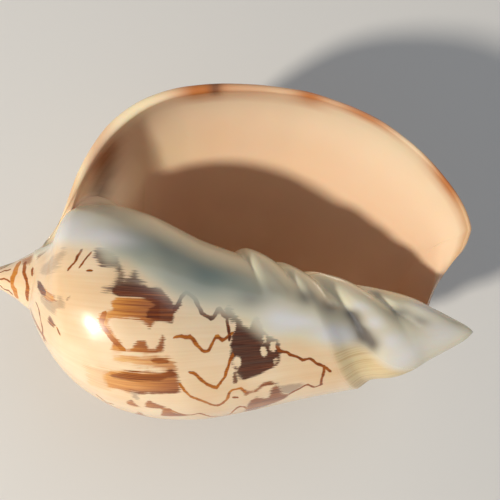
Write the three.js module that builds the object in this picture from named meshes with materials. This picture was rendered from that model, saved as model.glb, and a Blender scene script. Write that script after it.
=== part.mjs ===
// A volute shell lying on its back with the mouth up: one closed solid, in millimetres, +Z up.
//
// The shell coils round an axis. A point on it has three measures:
//   back   degrees of coiling back from the outer lip; 360 is one whorl back
//   depth  millimetres along the axis from the apex (0) to the front tip (LENGTH)
//   radius millimetres out from the axis
// Along each growth line `along` runs from the suture (0) over the whorl to the
// shoulder of the front band (BASE) and on down the neck to the front tip (1).

import * as THREE from 'three';

// Whole shell
const LENGTH = 120;              // apex to front tip
const WHORL_GROWTH = 2.26;       // how many times wider one whorl is than the one before
const LIP_RADIUS = 47.5;         // radius the steady growth reaches at the lip
const LIP_FLARE = 2.8;           // extra radius of the flared lip
const LIP_FLARE_SPAN = 60;       // degrees over which the flare grows
const WALL = 3.2;                // wall thickness inside the mouth
// Wall thickness at the lip's edge, as [along, thickness]: thicker near the spire.
const LIP_WALL = [[0, 2.2], [0.2, 2.2], [0.33, 1.6], [0.5, 1.1], [1, 1.1]];
const LIP_ROUND = 1.0;           // how far the rounded lip edge stands forward
const HOLLOW_SPAN = 290;         // degrees of coiling that the hollow goes back

// Spire
const SPIRE_TURNS = 2;           // whorls seen behind the last one
const SHOULDER_ROUND = 2.6;      // distance over which a whorl rises from its suture
// The suture line, as [degrees back from the lip, depth or radius].
const SUTURE_DEPTH = [[0, 13.3], [100, 13.1], [200, 12.7], [289, 15.2], [360, 12.6],
  [470, 10.6], [560, 9.4], [740, 7.3], [920, 5.3], [1080, 3.6]];
const SUTURE_RADIUS = [[0, 7.85], [100, 7.7], [200, 7.3], [289, 8.3], [360, 7.5],
  [470, 6.1], [560, 5.1], [740, 4.3], [920, 2.95], [1080, 2.3]];
// Where a whorl would start if the whorl after it didn't cover its first part.
const HIDDEN_DEPTH = 8.0;        // one whorl back
const HIDDEN_GROWTH = 2.1;       // ratio from one whorl to the next
const HIDDEN_RISE = 3.5;         // it climbs back by this much at the lip
const HIDDEN_RISE_SPAN = 150;    // degrees over which it climbs
const HIDDEN_RADIUS = [[0, 7.85], [90, 7.4], [180, 6.6], [270, 5.8], [360, 5.0],
  [450, 4.25], [540, 3.6], [630, 3.1], [720, 2.7]];

// Body whorl
const BASE = 0.66;               // value of `along` where the whorl ends and the neck begins
const BASE_DEPTH = [[0, 117.8], [15, 116.8], [30, 114.7], [50, 111.8], [78, 107.8],
  [100, 104.8], [140, 99.5], [194, 92.3], [250, 84], [300, 77], [360, 70], [450, 60],
  [540, 52], [660, 43], [800, 35]];
// Whorl sections, as [way along the whorl, share of the greatest radius].
const LIP_SECTION = [[0, 0], [0.026, 0.07], [0.04, 0.126], [0.055, 0.22], [0.0735, 0.36],
  [0.09, 0.475], [0.16, 0.753], [0.243, 0.90], [0.32, 0.965], [0.42, 1.0], [0.50, 1.008],
  [0.576, 1.003], [0.67, 0.965], [0.758, 0.901], [0.82, 0.825], [0.864, 0.757],
  [0.926, 0.635], [0.966, 0.54], [0.9875, 0.467], [1, 0.40]];
const BODY_SECTION = [[0, 0], [0.035, 0.13], [0.07, 0.28], [0.112, 0.46], [0.17, 0.665],
  [0.24, 0.825], [0.34, 0.955], [0.45, 1.0], [0.54, 0.978], [0.631, 0.908],
  [0.725, 0.807], [0.877, 0.63], [1, 0.494]];
const MOUTH_WALL_SECTION = [[0, 0], [0.0855, 0.18], [0.129, 0.27], [0.161, 0.39],
  [0.1935, 0.67], [0.21, 0.78], [0.258, 0.88], [0.371, 0.925], [0.516, 0.82],
  [0.613, 0.67], [0.716, 0.50], [0.874, 0.335], [1, 0.21]];

// Neck, columella and its plaits
const LIP_NECK = [[0, 1], [0.15, 0.87], [0.3, 0.79], [0.45, 0.745], [0.55, 0.72],
  [0.7, 0.62], [0.85, 0.42], [1, 0]];
const BODY_NECK = [[0, 1], [0.108, 0.858], [0.325, 0.77], [0.51, 0.617], [0.61, 0.486],
  [0.823, 0.246], [0.93, 0.12], [1, 0]];
const COLUMELLA_RADIUS = [[40, 17.5], [52.4, 12.8], [62.2, 10.4], [70.8, 8.2], [78.2, 6.5],
  [91.1, 5.7], [104, 5.0], [110, 3.7], [115, 2.1], [118.6, 0.8], [120, 0]];
// Each plait: depth of its crest at 360 degrees, its widths behind and ahead of the
// crest, its height, how fast it runs down the shell, and the degrees of coiling between
// which it rises from the outside.
const PLAITS = [
  { crest: 64.9, behind: 3.3, ahead: 6.4, height: 2.2, climb: 0.102, start: 280, full: 340 },
  { crest: 73.6, behind: 3.3, ahead: 5.6, height: 1.9, climb: 0.110, start: 280, full: 335 },
  { crest: 83.3, behind: 4.8, ahead: 8.0, height: 1.9, climb: 0.126, start: 215, full: 330 },
  { crest: 94.0, behind: 3.4, ahead: 15.0, height: 0.9, climb: 0.138, start: 250, full: 330 },
];
const DISH = 0.6;                // depth of the dish beside the front tip
const TIP_TURN = 200;            // degrees back at which the free edge reaches the tip
const TIP_OFFSET = 4.5;          // how far the front tip bends off the axis
const TIP_OFFSET_ANGLE = 190;    // the side it bends to, in degrees back from the lip
const BEND_FROM = 45;            // depth at which the bend begins
const CANAL_END = 86;            // depth at which the hollow's front end stops, deep inside

// Mouth
const CORNER_DEPTH = 21;         // depth of the mouth's back corner at the lip
const CORNER_ADVANCE = 0.216;    // how far that corner moves forward inside
const CORNER_START = 0.069;      // where on the lip the inner wall starts
const CORNER_FILLET = 0.3;       // rounding of the corner
const FILL = 4.0;                // height of the glaze that fills the corner behind the lip
const FILL_REACH = 4.5;          // distance over which that fill thins out
const LIP_SUTURE_WAY = 0.0855;   // where the first columns of the mesh lie on the lip
const LIP_CORNER_WAY = 0.2097;
// Degrees back of the free edge: nearly straight on the lip, then round the front notch.
const FREE_EDGE = [[0, 0], [0.1, 1], [0.3, 0.5], [0.56, 0.5], [0.61, 1.6], [0.64, 3.6],
  [0.66, 5.6], [0.711, 12.5], [0.762, 24], [0.8028, 46], [0.8198, 75], [0.8368, 100],
  [0.864, 125], [0.915, 155], [1, 200]];

// How it lies
const UP_ANGLE = 289.5;          // the side that faces up, in degrees back from the lip
const NOSE_UP = 8.5;             // degrees by which the front end is raised
const REST_FLAT = 0.6;           // height taken off the lowest point to lie on

// Mesh density
const TURN_STEPS = 42;
const HOLLOW_STEPS = 28;
const SPIRE_STEPS = 4;
const EDGE_STEPS = 3;
const LINE_STEPS = 46;

const COLOUR = 0xe6cba3;
const DEGREE = Math.PI / 180;

const clamp = (x, low, high) => Math.min(Math.max(x, low), high);
const mix = (a, b, share) => a + (b - a) * share;

function ease(x) {
  const c = clamp(x, 0, 1);
  return c * c * (3 - 2 * c);
}

// A smooth curve through a table of [x, y] points, with no overshoot between them.
function curveThrough(points) {
  const count = points.length;
  const step = [];
  const slope = [];
  for (let k = 0; k < count - 1; k++) {
    step.push(points[k + 1][0] - points[k][0]);
    slope.push((points[k + 1][1] - points[k][1]) / step[k]);
  }
  const tangent = [slope[0]];
  for (let k = 1; k < count - 1; k++) {
    if (slope[k - 1] * slope[k] <= 0) {
      tangent.push(0);
    } else {
      const before = 2 * step[k] + step[k - 1];
      const after = step[k] + 2 * step[k - 1];
      tangent.push((before + after) / (before / slope[k - 1] + after / slope[k]));
    }
  }
  tangent.push(slope[count - 2]);
  return (x) => {
    const at = clamp(x, points[0][0], points[count - 1][0]);
    let k = 0;
    while (k < count - 2 && at > points[k + 1][0]) k++;
    const u = (at - points[k][0]) / step[k];
    const v = 1 - u;
    return points[k][1] * (1 + 2 * u) * v * v + tangent[k] * step[k] * u * v * v
      + points[k + 1][1] * (1 + 2 * v) * u * u - tangent[k + 1] * step[k] * v * u * u;
  };
}

const sutureDepth = curveThrough(SUTURE_DEPTH);
const sutureRadius = curveThrough(SUTURE_RADIUS);
const hiddenRadius = curveThrough(HIDDEN_RADIUS);
const baseDepth = curveThrough(BASE_DEPTH);
const lipSection = curveThrough(LIP_SECTION);
const bodySection = curveThrough(BODY_SECTION);
const mouthWallSection = curveThrough(MOUTH_WALL_SECTION);
const lipNeck = curveThrough(LIP_NECK);
const bodyNeck = curveThrough(BODY_NECK);
const columellaRadius = curveThrough(COLUMELLA_RADIUS);
const freeEdge = curveThrough(FREE_EDGE);
const lipWall = curveThrough(LIP_WALL);

function hiddenDepth(back) {
  const climb = HIDDEN_RISE * clamp(1 - back / HIDDEN_RISE_SPAN, 0, 1) ** 1.5;
  return HIDDEN_DEPTH * HIDDEN_GROWTH ** (1 - back / 360) - climb;
}

function greatestRadius(back) {
  return LIP_RADIUS * WHORL_GROWTH ** (-back / 360) + LIP_FLARE * ease(1 - back / LIP_FLARE_SPAN);
}

const whorlWay = (depth) =>
  (depth - sutureDepth(360)) / (baseDepth(360) - sutureDepth(360));
const SUTURE_WAY = whorlWay(sutureDepth(0));   // where the next suture lands on a whorl
const CORNER_WAY = whorlWay(CORNER_DEPTH);     // where the mouth's back corner lands

// Radius of the whorl's own section at a depth.
function sectionRadius(back, depth) {
  const way = (depth - hiddenDepth(back)) / (baseDepth(back) - hiddenDepth(back));
  const towardsBody = ease(back / 150);
  const towardsMouth = ease((back - 215) / 145);
  const outside = mix(lipSection(way), bodySection(way), towardsBody);
  const share = mix(outside, mouthWallSection(way), towardsMouth);
  return mix(hiddenRadius(back), greatestRadius(back), share);
}

// A point of the whorl: `way` runs from the suture (0) to the base (1).
function whorlPoint(back, way) {
  const start = sutureDepth(back);
  const depth = mix(start, baseDepth(back), way);
  const step = sectionRadius(back, start) - sutureRadius(back);
  const radius = sectionRadius(back, depth) - step * Math.exp((start - depth) / SHOULDER_ROUND);
  return { depth, radius };
}

// Height of the columella's plaits, which fade out on the outside of the shell, less the
// shallow dish beside the front tip.
function plaitHeight(back, depth) {
  const turns = (back - 360) / 90;
  let height = 0;
  for (const plait of PLAITS) {
    const rise = ease((back - plait.start) / (plait.full - plait.start));
    const size = Math.exp(-0.5 * plait.climb * turns) * mix(0.6, 1, rise);
    const off = depth - plait.crest * Math.exp(-plait.climb * turns);
    const reach = (off < 0 ? plait.behind : plait.ahead) * size;
    const roundTop = 1 - Math.min((off / reach) ** 2, 1) ** 1.25;
    height = Math.max(height, plait.height * roundTop * rise);
  }
  const dish = Math.exp(-(((back - 302) / 30) ** 2) - ((depth - 105) / 7) ** 2);
  return height * Math.sqrt(clamp((LENGTH - depth) / 12, 0, 1)) - DISH * dish;
}

function columella(back, depth) {
  const inward = 1 - 0.28 * ease((back - 360) / 360);
  const tip = 1 - 0.5 * ease((back - 360) / 180) * ease((depth - 95) / 20);
  return columellaRadius(depth) * inward * tip;
}

// Depth at which the hollow closes in front, for a place so far back from the lip.
function closingDepth(back) {
  return LENGTH - (LENGTH - CANAL_END) * ease((back - TIP_TURN) / 130) ** 0.8;
}

function neckPoint(back, way, endDepth) {
  const start = baseDepth(back);
  const depth = mix(start, endDepth, way);
  const share = clamp((depth - start) / (LENGTH - start), 0, 1);
  const baseRadius = whorlPoint(back, 1).radius;
  const outside = baseRadius * mix(lipNeck(share), bodyNeck(share), ease((back - 80) / 100));
  const pillar = columella(back, depth);
  const join = ease(way / 0.25);
  const inside = mix(baseRadius + pillar - columella(back, start), pillar, join);
  return { depth, radius: mix(outside, inside, ease((back - 200) / 150)) };
}

// Glaze that fills the back corner of the mouth just behind the lip's edge.
function cornerFill(back, along) {
  if (along / BASE <= SUTURE_WAY) return 0;
  const ahead = Math.max(along / BASE - CORNER_WAY, 0) * (baseDepth(360) - sutureDepth(360));
  const turn = ease((back - 358) / 24) * (1 - ease((back - 392) / 40));
  return FILL * turn * Math.exp(-ahead / FILL_REACH);
}

// The outer surface, which runs on without a break as the inner wall of the mouth.
function outerPoint(back, along, endDepth = LENGTH, withPlaits = true) {
  let point;
  if (along > BASE) {
    point = neckPoint(back, (along - BASE) / (1 - BASE), endDepth);
  } else {
    let way = along / BASE;
    const advance = CORNER_ADVANCE * ease((back - 360) / 45);
    if (way > CORNER_WAY) way += advance * (1 - (way - CORNER_WAY) / (1 - CORNER_WAY));
    else if (back > 360) way += advance * way / CORNER_WAY;
    point = whorlPoint(back, way);
  }
  point.radius += cornerFill(back, along);
  if (withPlaits && along < 1) point.radius += plaitHeight(back, point.depth);
  return point;
}

// A spire whorl between two sutures.
function spirePoint(back, way) {
  return {
    depth: mix(sutureDepth(back), sutureDepth(back - 360), way),
    radius: mix(sutureRadius(back), sutureRadius(back - 360), way),
  };
}

// The inner surface of the outer wall, set in from the outer surface.
function innerPoint(back, line) {
  const end = closingDepth(back);
  const skin = (along) => outerPoint(back, clamp(along, 0, 1), end, false);
  const setIn = (along, wall) => {
    // A wider span near the base rounds the bend of the section there.
    const span = 0.001 + 0.03 * Math.exp(-(((along - BASE) / 0.03) ** 2));
    const before = skin(along - span);
    const after = skin(along + span);
    const run = after.depth - before.depth;
    const rise = after.radius - before.radius;
    const size = Math.hypot(run, rise);
    const neck = clamp((along - BASE) / (1 - BASE), 0, 1);
    const here = skin(along);
    return {
      depth: here.depth + wall * rise / size * (1 - neck),
      radius: here.radius - wall * run / size,
    };
  };
  const along = line + CORNER_START * BASE * clamp(1 - line / (0.15 * BASE), 0, 1);
  const neck = clamp((along - BASE) / (1 - BASE), 0, 1);
  let wall = mix(lipWall(along), WALL, ease((back - freeEdge(along)) / 25));
  if (neck > 0) {
    const here = skin(along);
    const pillar = columella(back + 360, here.depth) + plaitHeight(back + 360, here.depth);
    wall = Math.min(wall, 0.4 * Math.max(here.radius - pillar, 0));
  }
  const point = setIn(along, wall);
  // The back corner of the mouth, where this wall meets the whorl before.
  const corner = outerPoint(back + 360, CORNER_WAY * BASE);
  const start = setIn(CORNER_START * BASE, wall);
  const x = line / (0.30 * BASE);
  const pull = 1 - ease(x);
  point.depth += (corner.depth - start.depth) * pull;
  point.radius += (corner.radius - start.radius) * pull;
  if (x < 4) point.radius += CORNER_FILLET * (x / 0.2) * Math.exp(1 - x / 0.2);
  // The front end of the hollow, where this wall meets the columella.
  const close = neck ** 8;
  const pillar = columella(back + 360, end) + (end < LENGTH - 1e-6 ? plaitHeight(back + 360, end) : 0);
  return { depth: mix(point.depth, end, close), radius: mix(point.radius, pillar, close) };
}

// From depth, radius and degrees back to the shell's own axes, with the neck's slight bend.
function place({ depth, radius }, back) {
  const bend = TIP_OFFSET * clamp((depth - BEND_FROM) / (LENGTH - BEND_FROM), 0, 1) ** 2;
  return new THREE.Vector3(
    radius * Math.cos(back * DEGREE) + bend * Math.cos(TIP_OFFSET_ANGLE * DEGREE),
    radius * Math.sin(back * DEGREE) + bend * Math.sin(TIP_OFFSET_ANGLE * DEGREE),
    LENGTH / 2 - depth,
  );
}

function shellGeometry() {
  const vertices = [];
  const triangles = [];
  const add = (vector) => vertices.push(vector) - 1;
  const addTriangle = (a, b, c) => {
    if (a !== b && b !== c && c !== a) triangles.push([a, b, c]);
  };
  const addQuad = (a, b, c, d) => {
    const first = vertices[a].distanceTo(vertices[c]) <= vertices[b].distanceTo(vertices[d]);
    if (first) {
      addTriangle(a, b, c);
      addTriangle(a, c, d);
    } else {
      addTriangle(a, b, d);
      addTriangle(b, c, d);
    }
  };
  // Rows and columns of vertices become a sheet; `inside` sheets face the other way.
  const addSheet = (rows, from, to, inside) => {
    for (let i = 0; i + 1 < rows.length; i++) {
      for (let j = from; j < to; j++) {
        if (inside) addQuad(rows[i][j], rows[i + 1][j], rows[i + 1][j + 1], rows[i][j + 1]);
        else addQuad(rows[i][j], rows[i][j + 1], rows[i + 1][j + 1], rows[i + 1][j]);
      }
    }
  };

  // Where the columns lie: next suture at SPIRE_STEPS, mouth corner at CORNER. They are
  // spread wider on the lip than one whorl back, where the lip joins close to the suture.
  const CORNER = SPIRE_STEPS + EDGE_STEPS;
  const spread = (sutureWay, cornerWay) => {
    const list = [];
    for (let j = 0; j <= LINE_STEPS; j++) {
      if (j <= SPIRE_STEPS) list.push(sutureWay * BASE * j / SPIRE_STEPS);
      else if (j <= CORNER) {
        list.push(BASE * mix(sutureWay, cornerWay, (j - SPIRE_STEPS) / EDGE_STEPS));
      } else list.push(mix(cornerWay * BASE, 1, (j - CORNER) / (LINE_STEPS - CORNER)));
    }
    return list;
  };
  const lipColumns = spread(LIP_SUTURE_WAY, LIP_CORNER_WAY);
  const columns = spread(SUTURE_WAY, CORNER_WAY);
  const edge = lipColumns.map((along, j) => (j === 0 ? 0 : freeEdge(along)));
  const turnEnd = columns.map((along) => TIP_TURN * clamp((along - BASE) / (1 - BASE), 0, 1) ** 2.5);
  const tip = add(place({ depth: LENGTH, radius: 0 }, 0));

  // The outside of the last whorl, from the free edge one turn back.
  const outer = [];
  for (let i = 0; i <= TURN_STEPS; i++) {
    const x = i / TURN_STEPS;
    outer.push(columns.map((along, j) => {
      if (j === LINE_STEPS) return tip;
      if (i === TURN_STEPS && j === SPIRE_STEPS) return outer[0][0];
      const back = 360 * x + edge[j] * (1 - x) ** 1.5 + turnEnd[j] * x ** 1.5;
      if (i === TURN_STEPS && j > 0 && j < SPIRE_STEPS) {
        return add(place(spirePoint(360, j / SPIRE_STEPS), 360));
      }
      return add(place(outerPoint(back, mix(lipColumns[j], along, ease(x))), back));
    }));
  }
  addSheet(outer, 0, LINE_STEPS, false);

  // The spire, each whorl joined along its sutures.
  let lower = outer;
  for (let n = 1; n <= SPIRE_TURNS; n++) {
    const whorl = [];
    for (let i = 0; i <= TURN_STEPS; i++) {
      const back = 360 * n + 360 * i / TURN_STEPS;
      const row = [];
      for (let j = 0; j <= SPIRE_STEPS; j++) {
        if (j === SPIRE_STEPS) row.push(lower[i][0]);
        else if (i === 0) row.push(lower[TURN_STEPS][j]);
        else row.push(add(place(spirePoint(back, j / SPIRE_STEPS), back)));
      }
      whorl.push(row);
    }
    addSheet(whorl, 0, SPIRE_STEPS, false);
    lower = whorl;
  }

  // The domed apex.
  const rimRadius = sutureRadius(360 * (SPIRE_TURNS + 1));
  const rimDepth = sutureDepth(360 * (SPIRE_TURNS + 1));
  let rim = lower.map((row) => row[0]);
  for (const share of [0.66, 0.33]) {
    const ring = [];
    for (let i = 0; i < TURN_STEPS; i++) {
      const depth = rimDepth * (1 - Math.sqrt(1 - share * share));
      ring.push(add(place({ depth, radius: rimRadius * share }, 360 * i / TURN_STEPS)));
    }
    ring.push(ring[0]);
    for (let i = 0; i < TURN_STEPS; i++) {
      addQuad(rim[i], rim[i + 1], ring[i + 1], ring[i]);
    }
    if (share === 0.66) {
      const last = lower[TURN_STEPS];
      for (let j = 0; j < SPIRE_STEPS - 1; j++) {
        addTriangle(last[j], last[j + 1], rim[0]);
      }
      addTriangle(last[0], rim[0], ring[0]);
    }
    rim = ring;
  }
  const apex = add(place({ depth: 0, radius: 0 }, 0));
  for (let i = 0; i < TURN_STEPS; i++) {
    addTriangle(rim[i], rim[i + 1], apex);
  }

  // The inner wall of the mouth: the whorl before, and the columella with its plaits.
  const mouthWall = [];
  for (let i = 0; i <= HOLLOW_STEPS; i++) {
    mouthWall.push(columns.map((along, j) => {
      if (j < CORNER) return -1;
      if (i === 0) return outer[TURN_STEPS][j];
      const back = 360 + mix(turnEnd[j], HOLLOW_SPAN, i / HOLLOW_STEPS);
      const end = closingDepth(back - 360);
      if (j < LINE_STEPS) return add(place(outerPoint(back, along, end), back));
      return add(place({ depth: end, radius: columella(back, end) + plaitHeight(back, end) }, back));
    }));
  }
  addSheet(mouthWall, CORNER, LINE_STEPS, false);

  // The inside of the outer wall.
  const inner = [];
  for (let i = 0; i <= HOLLOW_STEPS; i++) {
    inner.push(lipColumns.map((along, j) => {
      if (j === 0) return mouthWall[i][CORNER];
      if (j === LINE_STEPS) return mouthWall[i][LINE_STEPS];
      const back = mix(edge[j], HOLLOW_SPAN, i / HOLLOW_STEPS);
      return add(place(innerPoint(back, along), back));
    }));
  }
  addSheet(inner, 0, LINE_STEPS, true);

  // The rounded free edge between the outside and the inside.
  const rounding = [outer[0]];
  for (let k = 1; k < EDGE_STEPS; k++) {
    rounding.push(columns.map((along, j) => {
      if (j === 0) return outer[TURN_STEPS][SPIRE_STEPS + k];
      if (j === LINE_STEPS) return tip;
      const outside = vertices[outer[0][j]];
      const inside = vertices[inner[0][j]];
      const across = outside.clone().sub(inside);
      const forward = outside.clone().sub(vertices[outer[1][j]]).normalize();
      forward.addScaledVector(across, -forward.dot(across) / across.lengthSq()).normalize();
      const turn = Math.PI * k / EDGE_STEPS;
      const reach = Math.min(across.length() / 2, LIP_ROUND) * Math.min(1, j / 4);
      return add(outside.clone().add(inside).multiplyScalar(0.5)
        .addScaledVector(across, Math.cos(turn) / 2)
        .addScaledVector(forward, Math.sin(turn) * reach));
    }));
  }
  rounding.push(inner[0]);
  addSheet(rounding, 0, LINE_STEPS, true);

  // The end of the hollow, deep inside.
  const loop = [...inner[HOLLOW_STEPS]];
  for (let j = LINE_STEPS - 1; j > CORNER; j--) loop.push(mouthWall[HOLLOW_STEPS][j]);
  const across = new THREE.Vector3(Math.cos(HOLLOW_SPAN * DEGREE), Math.sin(HOLLOW_SPAN * DEGREE), 0);
  const flat = loop.map((k) => new THREE.Vector2(vertices[k].dot(across), vertices[k].z));
  const turned = THREE.ShapeUtils.isClockWise(flat);
  for (const [a, b, c] of THREE.ShapeUtils.triangulateShape(flat, [])) {
    if (turned) addTriangle(loop[a], loop[b], loop[c]);
    else addTriangle(loop[a], loop[c], loop[b]);
  }

  layDown(vertices);
  const positions = vertices.flatMap((vertex) => vertex.toArray());
  const geometry = new THREE.BufferGeometry();
  geometry.setAttribute('position', new THREE.Float32BufferAttribute(positions, 3));
  geometry.setIndex(triangles.flat());
  geometry.computeVertexNormals();
  return geometry;
}

// Turns the shell so that it lies on its back, takes a small flat off its lowest place,
// and puts that flat at z = 0 under the middle of the shell's box.
function layDown(vertices) {
  const nose = NOSE_UP * DEGREE;
  const axis = new THREE.Vector3(-Math.cos(nose), 0, -Math.sin(nose));
  const up = new THREE.Vector3(-Math.sin(nose), 0, Math.cos(nose));
  const far = new THREE.Vector3(0, 1, 0);
  const turn = UP_ANGLE * DEGREE;
  const towardsLip = up.clone().multiplyScalar(Math.cos(turn)).addScaledVector(far, -Math.sin(turn));
  const sideways = up.clone().multiplyScalar(Math.sin(turn)).addScaledVector(far, Math.cos(turn));
  const basis = new THREE.Matrix4().makeBasis(towardsLip, sideways, axis);
  for (const vertex of vertices) vertex.applyMatrix4(basis);
  const lowest = Math.min(...vertices.map((v) => v.z)) + REST_FLAT;
  for (const vertex of vertices) vertex.z = Math.max(vertex.z, lowest);
  const box = new THREE.Box3().setFromPoints(vertices);
  const middle = box.getCenter(new THREE.Vector3());
  for (const vertex of vertices) vertex.sub(new THREE.Vector3(middle.x, middle.y, box.min.z));
}

const shell = new THREE.Mesh(
  shellGeometry(),
  new THREE.MeshStandardMaterial({ color: COLOUR, roughness: 0.25, metalness: 0 }),
);
shell.name = 'shell';

const group = new THREE.Group();
group.name = 'volute_shell';
group.add(shell);
export default group;
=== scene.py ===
# %% [markdown]
# # A volute shell, from growth rule to glaze
# The object is one big sea snail shell, lying on its back with its mouth up. A snail
# builds such a shell by adding one thin growth line after another along the lip, each a
# little larger than the last and turned a little further round the axis. So the whole
# form follows one rule, and that is how it is made here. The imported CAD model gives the
# place and the size of everything; its faceted solid is then replaced by a fine surface.

# %% Load the frame
import math

import bmesh
import bpy
import numpy as np
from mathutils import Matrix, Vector


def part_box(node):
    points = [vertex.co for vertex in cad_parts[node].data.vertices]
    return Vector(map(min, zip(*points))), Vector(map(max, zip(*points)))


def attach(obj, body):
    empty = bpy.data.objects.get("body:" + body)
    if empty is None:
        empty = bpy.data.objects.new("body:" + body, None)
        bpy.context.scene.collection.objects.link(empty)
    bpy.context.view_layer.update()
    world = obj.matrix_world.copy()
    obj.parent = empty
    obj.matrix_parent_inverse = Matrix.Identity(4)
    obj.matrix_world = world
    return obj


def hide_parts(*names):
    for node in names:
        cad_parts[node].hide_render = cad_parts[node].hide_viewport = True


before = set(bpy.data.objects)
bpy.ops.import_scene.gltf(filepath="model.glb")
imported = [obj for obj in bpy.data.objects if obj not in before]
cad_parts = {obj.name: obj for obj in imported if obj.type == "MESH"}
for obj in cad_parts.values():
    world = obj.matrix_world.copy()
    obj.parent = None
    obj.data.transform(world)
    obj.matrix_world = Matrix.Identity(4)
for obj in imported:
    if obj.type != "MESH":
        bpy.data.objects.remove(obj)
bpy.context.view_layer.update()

# %% [markdown]
# ## Measures
# All measures are in millimetres until the last step. A point on the shell is given by
# `back`, the degrees of coiling back from the lip (360 is one whorl back), `depth`, the
# distance along the axis from the apex, and `radius`, the distance from the axis. Along a
# growth line, `along` runs from the suture (0) over the whorl to the shoulder of the front
# band (BASE) and down the neck to the front tip (1).

# %% Measures of the whole shell
MM = 0.001
LENGTH = 120.0
# The last whorl: growth per turn, the lip's radius and flare, the wall, the hollow.
WHORL_GROWTH = 2.26
LIP_RADIUS = 47.5
LIP_FLARE = 2.8
LIP_FLARE_SPAN = 60.0
WALL = 3.2
LIP_ROUND = 1.0
WALL_SPAN = 25.0
HOLLOW_SPAN = 290.0
# The spire, and the part of each whorl that the next one hides.
SPIRE_TURNS = 2
SHOULDER_ROUND = 2.6
HIDDEN_DEPTH = 8.0
HIDDEN_GROWTH = 2.1
HIDDEN_RISE = 3.5
HIDDEN_RISE_SPAN = 150.0
# The front tip, the bend of the neck towards it, the columella and the end of the canal.
TIP_TURN = 200.0
TIP_OFFSET = 4.5
TIP_OFFSET_ANGLE = 190.0
BEND_FROM = 45.0
PILLAR_NARROWS = 0.28
TIP_NARROWS = 0.5
CANAL_END = 86.0
CANAL_SPAN = 130.0
ROOM_FOR_WALL = 0.4
# The back corner of the mouth, the glaze that fills it, and shares of a growth line.
CORNER_DEPTH = 21.0
CORNER_ADVANCE = 0.216
CORNER_START = 0.069
CORNER_FILLET = 0.3
CORNER_SHIFT = 0.15
CORNER_PULL = 0.30
FILL = 4.0
FILL_REACH = 4.5
LIP_SUTURE_WAY = 0.0855
LIP_CORNER_WAY = 0.2097
BASE = 0.66
BEND_STRETCH = 0.03
# How it lies: the lip's place, how far the front end is tipped, the resting spot.
UP_ANGLE = 289.5
NOSE_UP = 8.5
REST_FLAT = 0.6

# Where one shape turns into the next: first degree of coiling, and span in degrees.
TO_BODY = (0, 150)
TO_MOUTH = (215, 145)
NECK_TO_BODY = (80, 100)
NECK_TO_PILLAR = (200, 150)
NEXT_WHORL = (360, 360)
HALF_WHORL = (360, 180)
CORNER_IN = (360, 45)
FILL_IN = (358, 24)
FILL_OUT = (392, 40)
# The same along the axis: first depth, and span in mm.
TIP_DEPTHS = (95, 20)

# %% [markdown]
# ## Curves through a few points
# A whorl's section isn't a circle or any other simple curve, so it is given by a few
# points. The curve through them must be smooth and must not swing past them, or
# the shell would get dents. A cubic with limited slopes does both.

# %% A smooth curve through points
def curve_through(points):
    xs, ys = np.array(points, float).T
    step = np.diff(xs)
    slope = np.diff(ys) / step
    before = 2 * step[1:] + step[:-1]
    after = step[1:] + 2 * step[:-1]
    same_way = slope[:-1] * slope[1:] > 0
    safe = np.where(slope == 0, 1.0, slope)
    mean = (before + after) / (before / safe[:-1] + after / safe[1:])
    tangent = np.concatenate([slope[:1], np.where(same_way, mean, 0.0), slope[-1:]])

    def curve(x):
        at = np.clip(x, xs[0], xs[-1])
        k = np.clip(np.searchsorted(xs, at, side="right") - 1, 0, len(xs) - 2)
        u = (at - xs[k]) / step[k]
        v = 1 - u
        ends = ys[k] * (1 + 2 * u) * v**2 + ys[k + 1] * (1 + 2 * v) * u**2
        return ends + step[k] * u * v * (tangent[k] * v - tangent[k + 1] * u)

    return curve


def ease(x):
    c = np.clip(x, 0, 1)
    return c * c * (3 - 2 * c)


def over(at, stretch):
    return ease((at - stretch[0]) / stretch[1])


def mix(a, b, share):
    return a + (b - a) * share


def neck_share(along):
    return np.clip((along - BASE) / (1 - BASE), 0, 1)


# %% The shell's own curves
suture_depth = curve_through(
    [(0, 13.3), (100, 13.1), (200, 12.7), (289, 15.2), (360, 12.6), (470, 10.6), (560, 9.4),
     (740, 7.3), (920, 5.3), (1080, 3.6)]
)
suture_radius = curve_through(
    [(0, 7.85), (100, 7.7), (200, 7.3), (289, 8.3), (360, 7.5), (470, 6.1), (560, 5.1),
     (740, 4.3), (920, 2.95), (1080, 2.3)]
)
hidden_radius = curve_through(
    [(0, 7.85), (90, 7.4), (180, 6.6), (270, 5.8), (360, 5.0), (450, 4.25), (540, 3.6),
     (630, 3.1), (720, 2.7)]
)
base_depth = curve_through(
    [(0, 117.8), (15, 116.8), (30, 114.7), (50, 111.8), (78, 107.8), (100, 104.8),
     (140, 99.5), (194, 92.3), (250, 84), (300, 77), (360, 70), (450, 60), (540, 52),
     (660, 43), (800, 35)]
)
lip_section = curve_through(
    [(0, 0), (0.026, 0.07), (0.04, 0.126), (0.055, 0.22), (0.0735, 0.36), (0.09, 0.475),
     (0.16, 0.753), (0.243, 0.90), (0.32, 0.965), (0.42, 1.0), (0.50, 1.008),
     (0.576, 1.003), (0.67, 0.965), (0.758, 0.901), (0.82, 0.825), (0.864, 0.757),
     (0.926, 0.635), (0.966, 0.54), (0.9875, 0.467), (1, 0.40)]
)
body_section = curve_through(
    [(0, 0), (0.035, 0.13), (0.07, 0.28), (0.112, 0.46), (0.17, 0.665), (0.24, 0.825),
     (0.34, 0.955), (0.45, 1.0), (0.54, 0.978), (0.631, 0.908), (0.725, 0.807),
     (0.877, 0.63), (1, 0.494)]
)
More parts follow.
